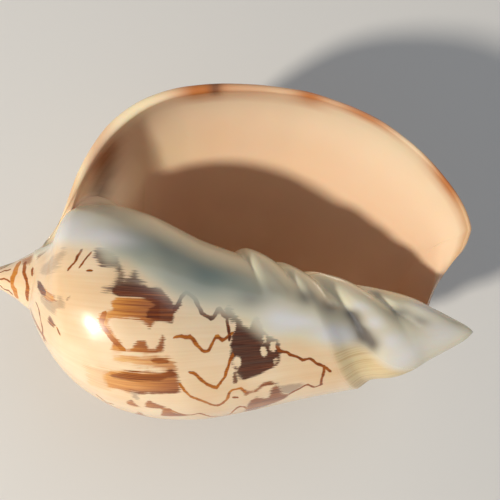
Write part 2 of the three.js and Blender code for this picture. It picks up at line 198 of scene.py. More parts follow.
mouth_wall_section = curve_through(
    [(0, 0), (0.0855, 0.18), (0.129, 0.27), (0.161, 0.39), (0.1935, 0.67), (0.21, 0.78),
     (0.258, 0.88), (0.371, 0.925), (0.516, 0.82), (0.613, 0.67), (0.716, 0.50),
     (0.874, 0.335), (1, 0.21)]
)
lip_neck = curve_through(
    [(0, 1), (0.15, 0.87), (0.3, 0.79), (0.45, 0.745), (0.55, 0.72), (0.7, 0.62),
     (0.85, 0.42), (1, 0)]
)
body_neck = curve_through(
    [(0, 1), (0.108, 0.858), (0.325, 0.77), (0.51, 0.617), (0.61, 0.486), (0.823, 0.246),
     (0.93, 0.12), (1, 0)]
)
columella_radius = curve_through(
    [(40, 17.5), (52.4, 12.8), (62.2, 10.4), (70.8, 8.2), (78.2, 6.5), (91.1, 5.7),
     (104, 5.0), (110, 3.7), (115, 2.1), (118.6, 0.8), (120, 0)]
)
free_edge = curve_through(
    [(0, 0), (0.1, 1), (0.3, 0.5), (0.56, 0.5), (0.61, 1.6), (0.64, 3.6), (0.66, 5.6),
     (0.711, 12.5), (0.762, 24), (0.8028, 46), (0.8198, 75), (0.8368, 100), (0.864, 125),
     (0.915, 155), (1, 200)]
)
lip_wall = curve_through([(0, 2.2), (0.2, 2.2), (0.33, 1.6), (0.5, 1.1), (1, 1.1)])
# Each plait: crest depth at 360 degrees, width behind, width ahead, height, climb per
# quarter turn, and the degrees of coiling between which it rises from the outside.
PLAITS = [
    (64.9, 3.3, 6.4, 2.2, 0.102, 280, 340),
    (73.6, 3.3, 5.6, 1.9, 0.110, 280, 335),
    (83.3, 4.8, 8.0, 1.9, 0.126, 215, 330),
    (94.0, 3.4, 15.0, 0.9, 0.138, 250, 330),
]
PLAIT_FADE = 12.0
# A shallow dish behind the last plait: its middle and its size, in degrees and in mm.
DISH = 0.6
DISH_BACK, DISH_WIDE = 302.0, 30.0
DISH_DEPTH, DISH_LONG = 105.0, 7.0

# %% [markdown]
# ## The growth line
# One function per stretch gives the depth and radius of a growth line at any place: the
# whorl, the neck with the columella and its plaits, the small whorls of the spire, and the
# inner face of the wall, which is the outer one set in by the wall's thickness.

# %% Whorl, plaits and columella
def hidden_depth(back):
    climb = HIDDEN_RISE * np.clip(1 - back / HIDDEN_RISE_SPAN, 0, 1) ** 1.5
    return HIDDEN_DEPTH * HIDDEN_GROWTH ** (1 - back / 360) - climb


def greatest_radius(back):
    flare = LIP_FLARE * ease(1 - back / LIP_FLARE_SPAN)
    return LIP_RADIUS * WHORL_GROWTH ** (-back / 360) + flare


def whorl_way(depth):
    return (depth - suture_depth(360.0)) / (base_depth(360.0) - suture_depth(360.0))


SUTURE_WAY = float(whorl_way(suture_depth(0.0)))
CORNER_WAY = float(whorl_way(CORNER_DEPTH))


def section_radius(back, depth):
    way = (depth - hidden_depth(back)) / (base_depth(back) - hidden_depth(back))
    outside = mix(lip_section(way), body_section(way), over(back, TO_BODY))
    share = mix(outside, mouth_wall_section(way), over(back, TO_MOUTH))
    return mix(hidden_radius(back), greatest_radius(back), share)


def whorl_point(back, way):
    start = suture_depth(back)
    depth = mix(start, base_depth(back), way)
    step = section_radius(back, start) - suture_radius(back)
    radius = section_radius(back, depth) - step * np.exp((start - depth) / SHOULDER_ROUND)
    return depth, radius


def plait_height(back, depth):
    quarters = (back - 360) / 90
    height = np.zeros(np.broadcast(back, depth).shape)
    for crest, behind, ahead, top, climb, start, full in PLAITS:
        rise = over(back, (start, full - start))
        size = np.exp(-0.5 * climb * quarters) * mix(0.6, 1, rise)
        off = depth - crest * np.exp(-climb * quarters)
        reach = np.where(off < 0, behind, ahead) * size
        round_top = 1 - np.minimum((off / reach) ** 2, 1) ** 1.25
        height = np.maximum(height, top * round_top * rise)
    height = height * np.sqrt(np.clip((LENGTH - depth) / PLAIT_FADE, 0, 1))
    off_dish = ((back - DISH_BACK) / DISH_WIDE) ** 2
    dish = np.exp(-off_dish - ((depth - DISH_DEPTH) / DISH_LONG) ** 2)
    return height - DISH * dish


def columella(back, depth):
    inward = 1 - PILLAR_NARROWS * over(back, NEXT_WHORL)
    tip = 1 - TIP_NARROWS * over(back, HALF_WHORL) * over(depth, TIP_DEPTHS)
    return columella_radius(depth) * inward * tip


def closing_depth(back):
    return LENGTH - (LENGTH - CANAL_END) * over(back, (TIP_TURN, CANAL_SPAN)) ** 0.8


# %% Neck, outer face, spire
def neck_point(back, way, end):
    start = base_depth(back)
    depth = mix(start, end, way)
    share = np.clip((depth - start) / (LENGTH - start), 0, 1)
    base_radius = whorl_point(back, 1.0)[1]
    narrowing = mix(lip_neck(share), body_neck(share), over(back, NECK_TO_BODY))
    pillar = columella(back, depth)
    inside = mix(base_radius + pillar - columella(back, start), pillar, ease(way / 0.25))
    return depth, mix(base_radius * narrowing, inside, over(back, NECK_TO_PILLAR))


def corner_fill(back, along):
    ahead = np.clip(along / BASE - CORNER_WAY, 0, 1) * (base_depth(360.0) - suture_depth(360.0))
    turn = over(back, FILL_IN) * (1 - over(back, FILL_OUT))
    return FILL * turn * np.exp(-ahead / FILL_REACH) * (along / BASE > SUTURE_WAY)


def outer_point(back, along, end=LENGTH, with_plaits=True):
    back, along, end = np.broadcast_arrays(np.asarray(back, float), along, end)
    way = np.clip(along / BASE, 0, 1)
    advance = CORNER_ADVANCE * over(back, CORNER_IN)
    past_corner = way + advance * (1 - (way - CORNER_WAY) / (1 - CORNER_WAY))
    before_corner = way + advance * way / CORNER_WAY
    shifted = np.where(way > CORNER_WAY, past_corner, before_corner)
    whorl_depth, whorl_radius = whorl_point(back, np.clip(shifted, 0, 1))
    neck_depth, neck_radius = neck_point(back, neck_share(along), end)
    on_neck = along > BASE
    depth = np.where(on_neck, neck_depth, whorl_depth)
    radius = np.where(on_neck, neck_radius, whorl_radius)
    radius = radius + corner_fill(back, along)
    if with_plaits:
        radius = radius + plait_height(back, depth) * (along < 1)
    return depth, radius


def spire_point(back, way):
    depth = mix(suture_depth(back), suture_depth(back - 360), way)
    return depth, mix(suture_radius(back), suture_radius(back - 360), way)


# %% The inner face of the wall
def inner_point(back, line):
    end = closing_depth(back)

    def skin(along):
        return outer_point(back, np.clip(along, 0, 1), end, with_plaits=False)

    def set_in(along, wall):
        span = 0.001 + BEND_STRETCH * np.exp(-(((along - BASE) / BEND_STRETCH) ** 2))
        depth_0, radius_0 = skin(along - span)
        depth_1, radius_1 = skin(along + span)
        run, rise = depth_1 - depth_0, radius_1 - radius_0
        size = np.hypot(run, rise)
        depth, radius = skin(along)
        return depth + wall * rise / size * (1 - neck_share(along)), radius - wall * run / size

    along = line + CORNER_START * BASE * np.clip(1 - line / (CORNER_SHIFT * BASE), 0, 1)
    neck = neck_share(along)
    wall = mix(lip_wall(along), WALL, over(back, (free_edge(along), WALL_SPAN)))
    here_depth, here_radius = skin(along)
    pillar = columella(back + 360, here_depth) + plait_height(back + 360, here_depth)
    room = ROOM_FOR_WALL * np.maximum(here_radius - pillar, 0)
    wall = np.where(neck > 0, np.minimum(wall, room), wall)
    depth, radius = set_in(along, wall)
    corner_depth, corner_radius = outer_point(back + 360, CORNER_WAY * BASE)
    start_depth, start_radius = set_in(np.full_like(along, CORNER_START * BASE), wall)
    x = line / (CORNER_PULL * BASE)
    pull = 1 - ease(x)
    depth = depth + (corner_depth - start_depth) * pull
    radius = radius + (corner_radius - start_radius) * pull
    radius = radius + CORNER_FILLET * (x / 0.2) * np.exp(1 - x / 0.2) * (x < 4)
    open_end = end < LENGTH - 1e-6
    end_radius = columella(back + 360, end) + plait_height(back + 360, end) * open_end
    close = neck**8
    return mix(depth, end, close), mix(radius, end_radius, close)


print("Radius of the lip:", round(float(outer_point(0, 0.33)[1]), 1), "mm")

# %% [markdown]
# ## Sheets of growth lines
# The surface is woven from five sheets: the outside of the last whorl, the spire, the wall
# seen inside the mouth with the columella, the inside of the outer wall, and the rounded
# free edge. Neighbouring sheets share their points, so the shell is closed and watertight
# from the start. Each point keeps its polar place. Each face corner also keeps its own
# `back` and `along`, because where two whorls meet at a suture one point belongs to both.

# %% Sheets, and the points they share
TURN_STEPS = 320
HOLLOW_STEPS = 72
SPIRE_STEPS = 10
EDGE_STEPS = 8
LINE_STEPS = 182
CORNER = SPIRE_STEPS + EDGE_STEPS
OUTSIDE, MOUTH_WALL, INSIDE = 0.0, 1.0, 2.0
TIP_BEND = TIP_OFFSET * np.array(
    [math.cos(math.radians(TIP_OFFSET_ANGLE)), math.sin(math.radians(TIP_OFFSET_ANGLE))]
)

places = []
quads = []
corner_values = []


def add_points(back, depth, radius):
    first = len(places)
    shape = np.broadcast(back, depth, radius).shape
    places.extend(np.stack(np.broadcast_arrays(back, depth, radius), -1).reshape(-1, 3))
    return np.arange(first, len(places)).reshape(shape)


def add_sheet(index, back, along, side, inside=False, start=0):
    values = np.stack(np.broadcast_arrays(back, along, side, index)[:3], -1)
    around = [(0, 0), (1, 0), (1, 1), (0, 1)] if inside else [(0, 0), (0, 1), (1, 1), (1, 0)]
    rows, cols = index.shape[0] - 1, index.shape[1] - 1
    cells = [index[i : rows + i, start + j : cols + j].ravel() for i, j in around]
    corners = [values[i : rows + i, start + j : cols + j].reshape(-1, 3) for i, j in around]
    quads.append(np.stack(cells, 1))
    corner_values.append(np.stack(corners, 1))


def spread(suture_way, corner_way):
    to_suture = np.linspace(0, suture_way * BASE, SPIRE_STEPS + 1)
    to_corner = np.linspace(suture_way * BASE, corner_way * BASE, EDGE_STEPS + 1)[1:]
    to_tip = np.linspace(corner_way * BASE, 1, LINE_STEPS - CORNER + 1)[1:]
    return np.concatenate([to_suture, to_corner, to_tip])


# Columns of a growth line: up to the next suture, past the edge's end, then to the tip.
# They are spread wider on the lip than one whorl back, where the lip joins the suture.
lip_columns = spread(LIP_SUTURE_WAY, LIP_CORNER_WAY)
columns = spread(SUTURE_WAY, CORNER_WAY)
edge_back = free_edge(lip_columns)
edge_back[0] = 0
turn_end = TIP_TURN * neck_share(columns) ** 2.5

# %% The outside of the last whorl, and the spire
share = np.linspace(0, 1, TURN_STEPS + 1)[:, None]
outer_back = 360 * share + edge_back * (1 - share) ** 1.5 + turn_end * share**1.5
outer_along = mix(lip_columns, columns, ease(share))
outer_depth, outer_radius = outer_point(outer_back, outer_along)
spire_way = np.linspace(0, 1, SPIRE_STEPS + 1)
under_spire = spire_point(360.0, spire_way[1:-1])
outer_depth[-1, 1:SPIRE_STEPS], outer_radius[-1, 1:SPIRE_STEPS] = under_spire
outer = add_points(outer_back, outer_depth, outer_radius)
outer[:, -1] = outer[0, -1]
outer[-1, SPIRE_STEPS] = outer[0, 0]
add_sheet(outer, outer_back, outer_along, OUTSIDE)

lower = outer
for turn in range(1, SPIRE_TURNS + 1):
    whorl_back = 360 * turn + 360 * share
    whorl = add_points(whorl_back, *spire_point(whorl_back, spire_way))
    whorl[0] = lower[-1, : SPIRE_STEPS + 1]
    whorl[:, -1] = lower[:, 0]
    add_sheet(whorl, whorl_back, spire_way * SUTURE_WAY * BASE, OUTSIDE)
    lower = whorl
print("outside and spire:", len(places), "points")

# %% The wall inside the mouth, and the inside of the lip
share = np.linspace(0, 1, HOLLOW_STEPS + 1)[:, None]
wall_back = 360 + mix(turn_end, HOLLOW_SPAN, share)
wall_end = closing_depth(wall_back - 360)
wall_depth, wall_radius = outer_point(wall_back, columns, wall_end)
last_back, last_depth = wall_back[:, -1], wall_end[:, -1]
wall_depth[:, -1] = last_depth
wall_radius[:, -1] = columella(last_back, last_depth) + plait_height(last_back, last_depth)
mouth_wall = add_points(wall_back, wall_depth, wall_radius)
mouth_wall[0] = outer[-1]
add_sheet(mouth_wall, wall_back, columns, MOUTH_WALL, start=CORNER)

inner_back = mix(edge_back, HOLLOW_SPAN, share)
inner = add_points(inner_back, *inner_point(inner_back, lip_columns + 0 * inner_back))
inner[:, 0] = mouth_wall[:, CORNER]
inner[:, -1] = mouth_wall[:, -1]
add_sheet(inner, inner_back, lip_columns, INSIDE, inside=True)
print("with the hollow:", len(places), "points")

# %% [markdown]
# ## The rounded free edge
# The lip ends in a rounded edge, like the rim of a cup. It is a half ellipse from the
# outside to the inside, standing forward by LIP_ROUND, and fading out at the suture.

# %% Round the free edge
def neck_bend(depth):
    return np.clip((depth - BEND_FROM) / (LENGTH - BEND_FROM), 0, 1)[:, None] ** 2 * TIP_BEND


def to_axes(rows):
    back, depth, radius = np.radians(rows[:, 0]), rows[:, 1], rows[:, 2]
    flat = np.stack([np.cos(back), np.sin(back)], -1) * radius[:, None] + neck_bend(depth)
    return np.column_stack([flat, LENGTH / 2 - depth])


def from_axes(points, near_back):
    depth = LENGTH / 2 - points[:, 2]
    x, y = (points[:, :2] - neck_bend(depth)).T
    turn = np.degrees(np.arctan2(y, x))
    return turn + 360 * np.round((near_back - turn) / 360), depth, np.hypot(x, y)


rows = np.array(places)
outside_edge, inside_edge = to_axes(rows[outer[0]]), to_axes(rows[inner[0]])
across = outside_edge - inside_edge
width = np.linalg.norm(across, axis=1, keepdims=True) + 1e-9
forward = outside_edge - to_axes(rows[outer[1]])
forward -= across * np.sum(forward * across, 1, keepdims=True) / width**2
forward /= np.linalg.norm(forward, axis=1, keepdims=True) + 1e-9
fade = np.minimum(1, lip_columns / lip_columns[SPIRE_STEPS])[:, None]
reach = np.minimum(width / 2, LIP_ROUND) * fade
rounding = [outer[0]]
for step in range(1, EDGE_STEPS):
    turn = math.pi * step / EDGE_STEPS
    row = (outside_edge + inside_edge) / 2
    row = row + across * math.cos(turn) / 2 + forward * math.sin(turn) * reach
    index = add_points(*from_axes(row, edge_back))
    index[0] = outer[-1, SPIRE_STEPS + step]
    index[-1] = outer[0, -1]
    rounding.append(index)
rounding.append(inner[0])
edge_side = np.linspace(OUTSIDE, INSIDE, EDGE_STEPS + 1)[:, None]
add_sheet(np.array(rounding), edge_back, lip_columns, edge_side, inside=True)
print("lip wall, mm:", round(float(width[LINE_STEPS // 3, 0]), 2))

# %% Close the apex
triangles = []
rim = lower[:, 0]
rim_back = 360.0 * (SPIRE_TURNS + 1)
rim_radius, rim_depth = float(suture_radius(rim_back)), float(suture_depth(rim_back))
around = np.linspace(0, 360, TURN_STEPS + 1)
APEX_RINGS = (0.8, 0.6, 0.4, 0.2)
for ring_share in APEX_RINGS:
    ring_depth = rim_depth * (1 - math.sqrt(1 - ring_share**2))
    ring = add_points(around, ring_depth, rim_radius * ring_share)
    ring[-1] = ring[0]
    add_sheet(np.array([rim, ring]), rim_back, 0.0, OUTSIDE)
    if ring_share == APEX_RINGS[0]:
        seam = lower[-1, : SPIRE_STEPS + 1]
        triangles += [(seam[j], seam[j + 1], rim[0]) for j in range(SPIRE_STEPS - 1)]
        triangles.append((seam[0], rim[0], ring[0]))
    rim = ring
apex = int(add_points(0.0, 0.0, 0.0))
triangles += [(rim[i], rim[i + 1], apex) for i in range(TURN_STEPS)]
hollow_end = list(inner[-1]) + list(mouth_wall[-1, LINE_STEPS - 1 : CORNER : -1])
print("in all:", len(places), "points")

# %% [markdown]
# ## One mesh that carries the rule
# The sheets become one mesh. Where its points lie doesn't matter yet: each carries its
# polar place as attributes, and Geometry Nodes do the coiling. Each face corner carries
# `back`, `along` and `side`, which the surface relief and the colours read later.

# %% The uncoiled mesh
faces = []
face_values = []
for quad, corners in zip(np.concatenate(quads).tolist(), np.concatenate(corner_values).tolist()):
    kept = [k for k in range(4) if quad[k] != quad[k - 1]]
    if len(kept) > 2:
        faces.append([quad[k] for k in kept])
        face_values.extend(corners[k] for k in kept)
for triangle in triangles:
    faces.append([int(k) for k in triangle])
    face_values.extend([[rim_back, 0.0, OUTSIDE]] * 3)
faces.append([int(k) for k in hollow_end[::-1]])
face_values.extend([[HOLLOW_SPAN, 0.5, INSIDE]] * len(hollow_end))

used, flat_index = np.unique(np.concatenate([np.array(f) for f in faces]), return_inverse=True)
starts = np.cumsum([0] + [len(f) for f in faces])
faces = [flat_index[a:b].tolist() for a, b in zip(starts, starts[1:])]
point_rows = np.array(places)[used]


def store(mesh, name, values, domain="CORNER"):
    attribute = mesh.attributes.new(name, "FLOAT", domain)
    attribute.data.foreach_set("value", np.asarray(values, np.float32))


mesh = bpy.data.meshes.new("shell_growth_lines")
mesh.from_pydata(point_rows * MM, [], faces)
for name, values in zip(("turn", "depth", "radius"), point_rows.T):
    store(mesh, name, values, "POINT")
for name, values in zip(("back", "along", "side"), np.array(face_values).T):
    store(mesh, name, values)
print("mesh:", len(mesh.vertices), "points,", len(mesh.polygons), "faces")

# %% Close the far end of the hollow with triangles
sheet = bmesh.new()
sheet.from_mesh(mesh)
sheet.faces.ensure_lookup_table()
bmesh.ops.triangulate(sheet, faces=[sheet.faces[-1]], ngon_method="EAR_CLIP")
open_edges = sum(1 for edge in sheet.edges if len(edge.link_faces) != 2)
sheet.to_mesh(mesh)
sheet.free()


def stored(mesh, name):
    attribute = mesh.attributes[name]
    values = np.empty(len(attribute.data), np.float32)
    attribute.data.foreach_get("value", values)
    return values.astype(float)


back, along, side = (stored(mesh, name) for name in ("back", "along", "side"))
corner_points = np.empty(len(mesh.loops), np.int32)
mesh.loops.foreach_get("vertex_index", corner_points)
depth = stored(mesh, "depth")[corner_points]
print("open edges:", open_edges)

# %% [markdown]
# ## Nodes that read like formulas
# Every tree below is built in the script. A small helper makes a node, sets its options
# and fills its sockets, either with a number or with a link from another node. What comes
# out of a node can be added or multiplied, and each sum makes one more node.

# %% A helper for node trees
class Value:
    def __init__(self, make, socket):
        self.make = make
        self.socket = socket

    def __add__(self, other):
        return self.make.math("ADD", self, other)

    def __sub__(self, other):
        return self.make.math("SUBTRACT", self, other)

    def __rsub__(self, other):
        return self.make.math("SUBTRACT", other, self)

    def __mul__(self, other):
        return self.make.math("MULTIPLY", self, other)

    def __truediv__(self, other):
        return self.make.math("DIVIDE", self, other)


class Maker:
    def __init__(self, tree):
        self.tree = tree

    def fill(self, socket, value):
        source = value.socket if isinstance(value, Value) else value
        if isinstance(source, bpy.types.NodeSocket):
            self.tree.links.new(source, socket)
        else:
            socket.default_value = source

    def node(self, kind, sockets=None, **options):
        node = self.tree.nodes.new(kind)
        for name, value in options.items():
            setattr(node, name, value)
        for key, value in (sockets or {}).items():
            self.fill(node.inputs[key], value)
        return node

    def get(self, kind, sockets=None, output=0, **options):
        return Value(self, self.node(kind, sockets, **options).outputs[output])

    def math(self, operation, *values, clamp=False):
        sockets = dict(enumerate(values))
        return self.get("ShaderNodeMath", sockets, operation=operation, use_clamp=clamp)

    def vector(self, *values):
        return self.get("ShaderNodeCombineXYZ", dict(enumerate(values)))

    def split(self, vector):
        node = self.node("ShaderNodeSeparateXYZ", {0: vector})
        return [Value(self, socket) for socket in node.outputs]

    def ramp(self, value, low, high, out_low=0.0, out_high=1.0, kind="SMOOTHSTEP"):
        sockets = {"Value": value, "From Min": low, "From Max": high, "To Min": out_low,
                   "To Max": out_high}
        return self.get("ShaderNodeMapRange", sockets, interpolation_type=kind)


# An input is given by its default value, or by its kind where it has no default.
SOCKET = "NodeSocket"


def new_group(name, kind, inputs, outputs):
    tree = bpy.data.node_groups.new(name, kind)
    for label, given in inputs.items():
        named_kind = given if isinstance(given, str) else None
        socket_kind = named_kind or ("Vector" if isinstance(given, tuple) else "Float")
        socket = tree.interface.new_socket(label, in_out="INPUT", socket_type=SOCKET + socket_kind)
        if not named_kind:
            socket.default_value = given
    for label, socket_kind in outputs.items():
        tree.interface.new_socket(label, in_out="OUTPUT", socket_type=SOCKET + socket_kind)
    make = Maker(tree)
    sockets = make.node("NodeGroupInput").outputs
    wanted = {label: Value(make, sockets[label]) for label in inputs}
    return make, wanted, make.node("NodeGroupOutput").inputs


# %% [markdown]
# ## Coil the growth lines
# This tree is the growth rule itself: it turns each point by its `turn`, sets it at its
# `radius`, bends the neck a little, lays the shell on its back, flattens the spot that it
# rests on, and puts it in the middle of the CAD part's place.

# %% The coiling tree
make, wanted, result = new_group(
    "Coil the growth lines",
    "GeometryNodeTree",
    {"Geometry": "Geometry", "Length": LENGTH * MM, "Tip Offset": TIP_OFFSET * MM,
     "Tip Offset Angle": TIP_OFFSET_ANGLE, "Bend From": BEND_FROM * MM, "Up Angle": UP_ANGLE,
     "Nose Up": NOSE_UP, "Rest Flat": REST_FLAT * MM, "Fit": 0.997, "Place": (0.0, 0.0, 0.0),
     "Wave Height": 0.0001, "Ridge Height": 0.00006, "Glaze Height": 0.0002, "Seed": 3.0,
     "Material": "Material"},
    {"Geometry": "Geometry"},
)
coil = make.tree


def named(name):
    sockets = {"Name": name}
    return make.get("GeometryNodeInputNamedAttribute", sockets, data_type="FLOAT")


def turned(vector, axis, degrees):
    sockets = {"Vector": vector, "Angle": make.math("RADIANS", degrees)}
    return make.get("ShaderNodeVectorRotate", sockets, rotation_type=axis)


def moved(geometry, **sockets):
    return make.get("GeometryNodeSetPosition", {"Geometry": geometry, **sockets})


depth_m = named("depth") * MM
radius_m = named("radius") * MM
turn_rad = make.math("RADIANS", named("turn"))
bend_rad = make.math("RADIANS", wanted["Tip Offset Angle"])
span = wanted["Length"] - wanted["Bend From"]
down_neck = make.math("DIVIDE", depth_m - wanted["Bend From"], span, clamp=True)
bend = make.math("POWER", down_neck, 2.0) * wanted["Tip Offset"]
flat = [
    radius_m * make.math(wave, turn_rad) + bend * make.math(wave, bend_rad)
    for wave in ("COSINE", "SINE")
]
upright = make.vector(*flat, wanted["Length"] * 0.5 - depth_m)
lip_turned = turned(upright, "Z_AXIS", wanted["Up Angle"] * -1.0)
laid = turned(lip_turned, "Y_AXIS", -90.0 - wanted["Nose Up"])
coiled = moved(wanted["Geometry"], Position=laid)

# %% Flatten the resting spot and move to the CAD part's place
# `Fit` makes the shell a touch smaller, so that its relief stays inside the CAD part's box.
here = make.split(make.get("GeometryNodeInputPosition"))
box = make.node("GeometryNodeBoundBox", {"Geometry": coiled}).outputs
low, high, place = (make.split(v) for v in (box["Min"], box["Max"], wanted["Place"]))
floor_level = low[2] + wanted["Rest Flat"]
where = [place[k] + (here[k] - (low[k] + high[k]) * 0.5) * wanted["Fit"] for k in (0, 1)]
level = make.math("MAXIMUM", here[2], floor_level)
where.append(place[2] + (level - floor_level) * wanted["Fit"])
placed = moved(coiled, Position=make.vector(*where))

# %% [markdown]
# ## Relief along the growth lines
# The real surface isn't perfectly smooth: the outside swells and sinks a little from one
# spell of growth to the next, the front band carries rough scars of old lip edges, and the
# glaze on the mouth side lies on top as a thin layer. All three follow attributes, so the
# same tree adds them, moving points along their normals. On the resting spot it stays flat.

# %% Relief, and the tree's end
SWELLS_PER_DEGREE = 0.09
SCARS_PER_DEGREE = 0.16
# Heights above the floor, in metres, between which the relief fades in.
FADE_IN = (0.0002, 0.003)


def uneven(along_back, detail):
    sockets = {"W": along_back, "Scale": 1.0, "Detail": detail}
    return make.get("ShaderNodeTexNoise", sockets, noise_dimensions="1D")


swell = uneven(named("back") * SWELLS_PER_DEGREE + wanted["Seed"], 2.0) - 0.5
swell = swell * named("bare") * wanted["Wave Height"]
scar = uneven(named("back") * SCARS_PER_DEGREE - wanted["Seed"], 3.0)
scar = make.ramp(scar, 0.35, 0.65, -0.5, 0.5) * named("band") * wanted["Ridge Height"]
height = swell + scar + named("glaze") * wanted["Glaze Height"]
height = height * make.ramp(here[2], *FADE_IN)
sockets = {0: make.get("GeometryNodeInputNormal"), "Scale": height}
offset = make.get("ShaderNodeVectorMath", sockets, operation="SCALE")
relief = moved(placed, Offset=offset)
sockets = {"Geometry": relief, "Shade Smooth": True}
smooth = make.get("GeometryNodeSetShadeSmooth", sockets)
real = make.get("GeometryNodeRealizeInstances", {"Geometry": smooth})
sockets = {"Geometry": real, "Material": wanted["Material"]}
make.fill(result["Geometry"], make.get("GeometryNodeSetMaterial", sockets))
print("coiling tree:", len(coil.nodes), "nodes")

# %% [markdown]
# ## Where each finish lies
# The shell has four finishes: the patterned outside, the glaze (callus) that the animal
# spreads over the mouth side, the rough front band, and the smooth lining of the mouth.
# The glaze ends in a slanting border, which is a curve from `depth` to `back`.

# %% Glaze, front band and bare outside
outer_side = side < 0.5
last_whorl = outer_side & (back < 361) & (along > 0)
GLAZE_EDGE = 13.0
glaze_border = curve_through(
    [(0, 300), (14, 322), (20, 312), (24, 303), (28, 301), (32, 300), (36, 293), (40, 297),
     (45, 294), (50, 287), (55, 282.5), (64, 275), (70, 264), (77, 257), (82, 252.5), (87, 249),
     (91, 245), (97, 227), (104, 206), (112, 185), (120, 170)]
)
overlap = 3 + 10 * over(depth, (34, 12)) - 5 * over(depth, (68, 10))
glaze = np.where(last_whorl, ease((back - glaze_border(depth) + overlap) / GLAZE_EDGE), 0.0)
glaze = np.where((side > 0.5) & (side < 1.5) & (back > 359), 1.0, glaze)
band = np.where(last_whorl, ease((along - BASE + 0.004) / 0.012), 0.0)
store(mesh, "glaze", glaze)
store(mesh, "band", band * (1 - glaze))
store(mesh, "bare", np.where(outer_side, (1 - glaze) * (1 - band), 0.0))
print("glazed corners:", int((glaze > 0.5).sum()))

# %% [markdown]
# ## The brown pattern
# The pattern has two belts of brown blocks, cream belts with zigzag lines between them,
# and spots near the suture. On the side that shows, each block and line is placed by a
# few points, `(back, depth)`. The mesh stores how far each corner lies from them in
# millimetres, and the material turns that distance into a crisp edge. A distance changes
# evenly over a face, so the edge stays sharp although the mesh is coarser than a line.

# %% Distance from outlines and lines
REACH = 3.0
FAR = 9.0
SPIRE_RADIUS = 6.0
skin = np.flatnonzero(outer_side)
skin_back, skin_depth = back[skin], depth[skin]


def mm_per_degree(at_back):
    return math.radians(float(greatest_radius(at_back)) if at_back < 360 else SPIRE_RADIUS)


def nearby(points):
    shape = np.array(points, float)
    scale = np.array([mm_per_degree(shape[:, 0].mean()), 1.0])
    low, high = shape.min(0) - REACH / scale, shape.max(0) + REACH / scale
    fits = (skin_back > low[0]) & (skin_back < high[0])
    near = np.flatnonzero(fits & (skin_depth > low[1]) & (skin_depth < high[1]))
    here = np.stack([skin_back[near], skin_depth[near]], 1) * scale
    return skin[near], here, shape * scale


def inside_outline(points):
    near, here, knots = nearby(points)
    knots = np.vstack([knots, knots[:1]])
    nearest = np.full(len(near), FAR)
    crossings = np.zeros(len(near), int)
    for start, end in zip(knots[:-1], knots[1:]):
        run = end - start
        way = np.clip((here - start) @ run / (run @ run), 0, 1)
        nearest = np.minimum(nearest, np.linalg.norm(here - start - way[:, None] * run, axis=1))
        spans = (start[1] > here[:, 1]) != (end[1] > here[:, 1])
        if start[1] != end[1]:
            crossing = start[0] + (here[:, 1] - start[1]) * run[0] / run[1]
            crossings += spans & (here[:, 0] < crossing)
    return near, np.where(crossings % 2 == 1, nearest, -nearest)


def beside_line(points):
    near, here, knots = nearby(points)
    run = np.diff(knots, axis=0)
    facing = np.stack([run[:, 1], -run[:, 0]], 1) / np.linalg.norm(run, axis=1)[:, None]
    last = len(run) - 1
    nearest = np.full(len(near), FAR)
    side_of, past_end = np.full(len(near), FAR), np.zeros(len(near))
    for k in range(len(run)):
        way = (here - knots[k]) @ run[k] / (run[k] @ run[k])
        gap = here - knots[k] - np.clip(way, 0, 1)[:, None] * run[k]
        distance = np.linalg.norm(gap, axis=1)
        before = facing[k] + facing[max(k - 1, 0)]
        after = facing[k] + facing[min(k + 1, last)]
        normal = np.where((way > 1)[:, None], after, facing[k])
        normal = np.where((way < 0)[:, None], before, normal)
        signed = np.where(np.sum(gap * normal, 1) < 0, -distance, distance)
        over = np.zeros(len(near))
        for beyond, at_end in ((-way, k == 0), (way - 1, k == last)):
            out = (beyond > 0) & at_end
            signed = np.where(out, gap @ facing[k], signed)
            over = np.where(out, beyond * np.linalg.norm(run[k]), over)
        closer = distance < nearest
        nearest = np.where(closer, distance, nearest)
        side_of = np.where(closer, signed, side_of)
        past_end = np.where(closer, over, past_end)
    return near, side_of, nearest, past_end


# %% [markdown]
# Each block below is a row: strength, softness of its edge in mm, tone at its first and
# last depth, and its outline. Tones run from 0, pale amber, over brown to 0.8, dark
# chocolate, and 1, the purple grey of brown seen through a film of glaze.

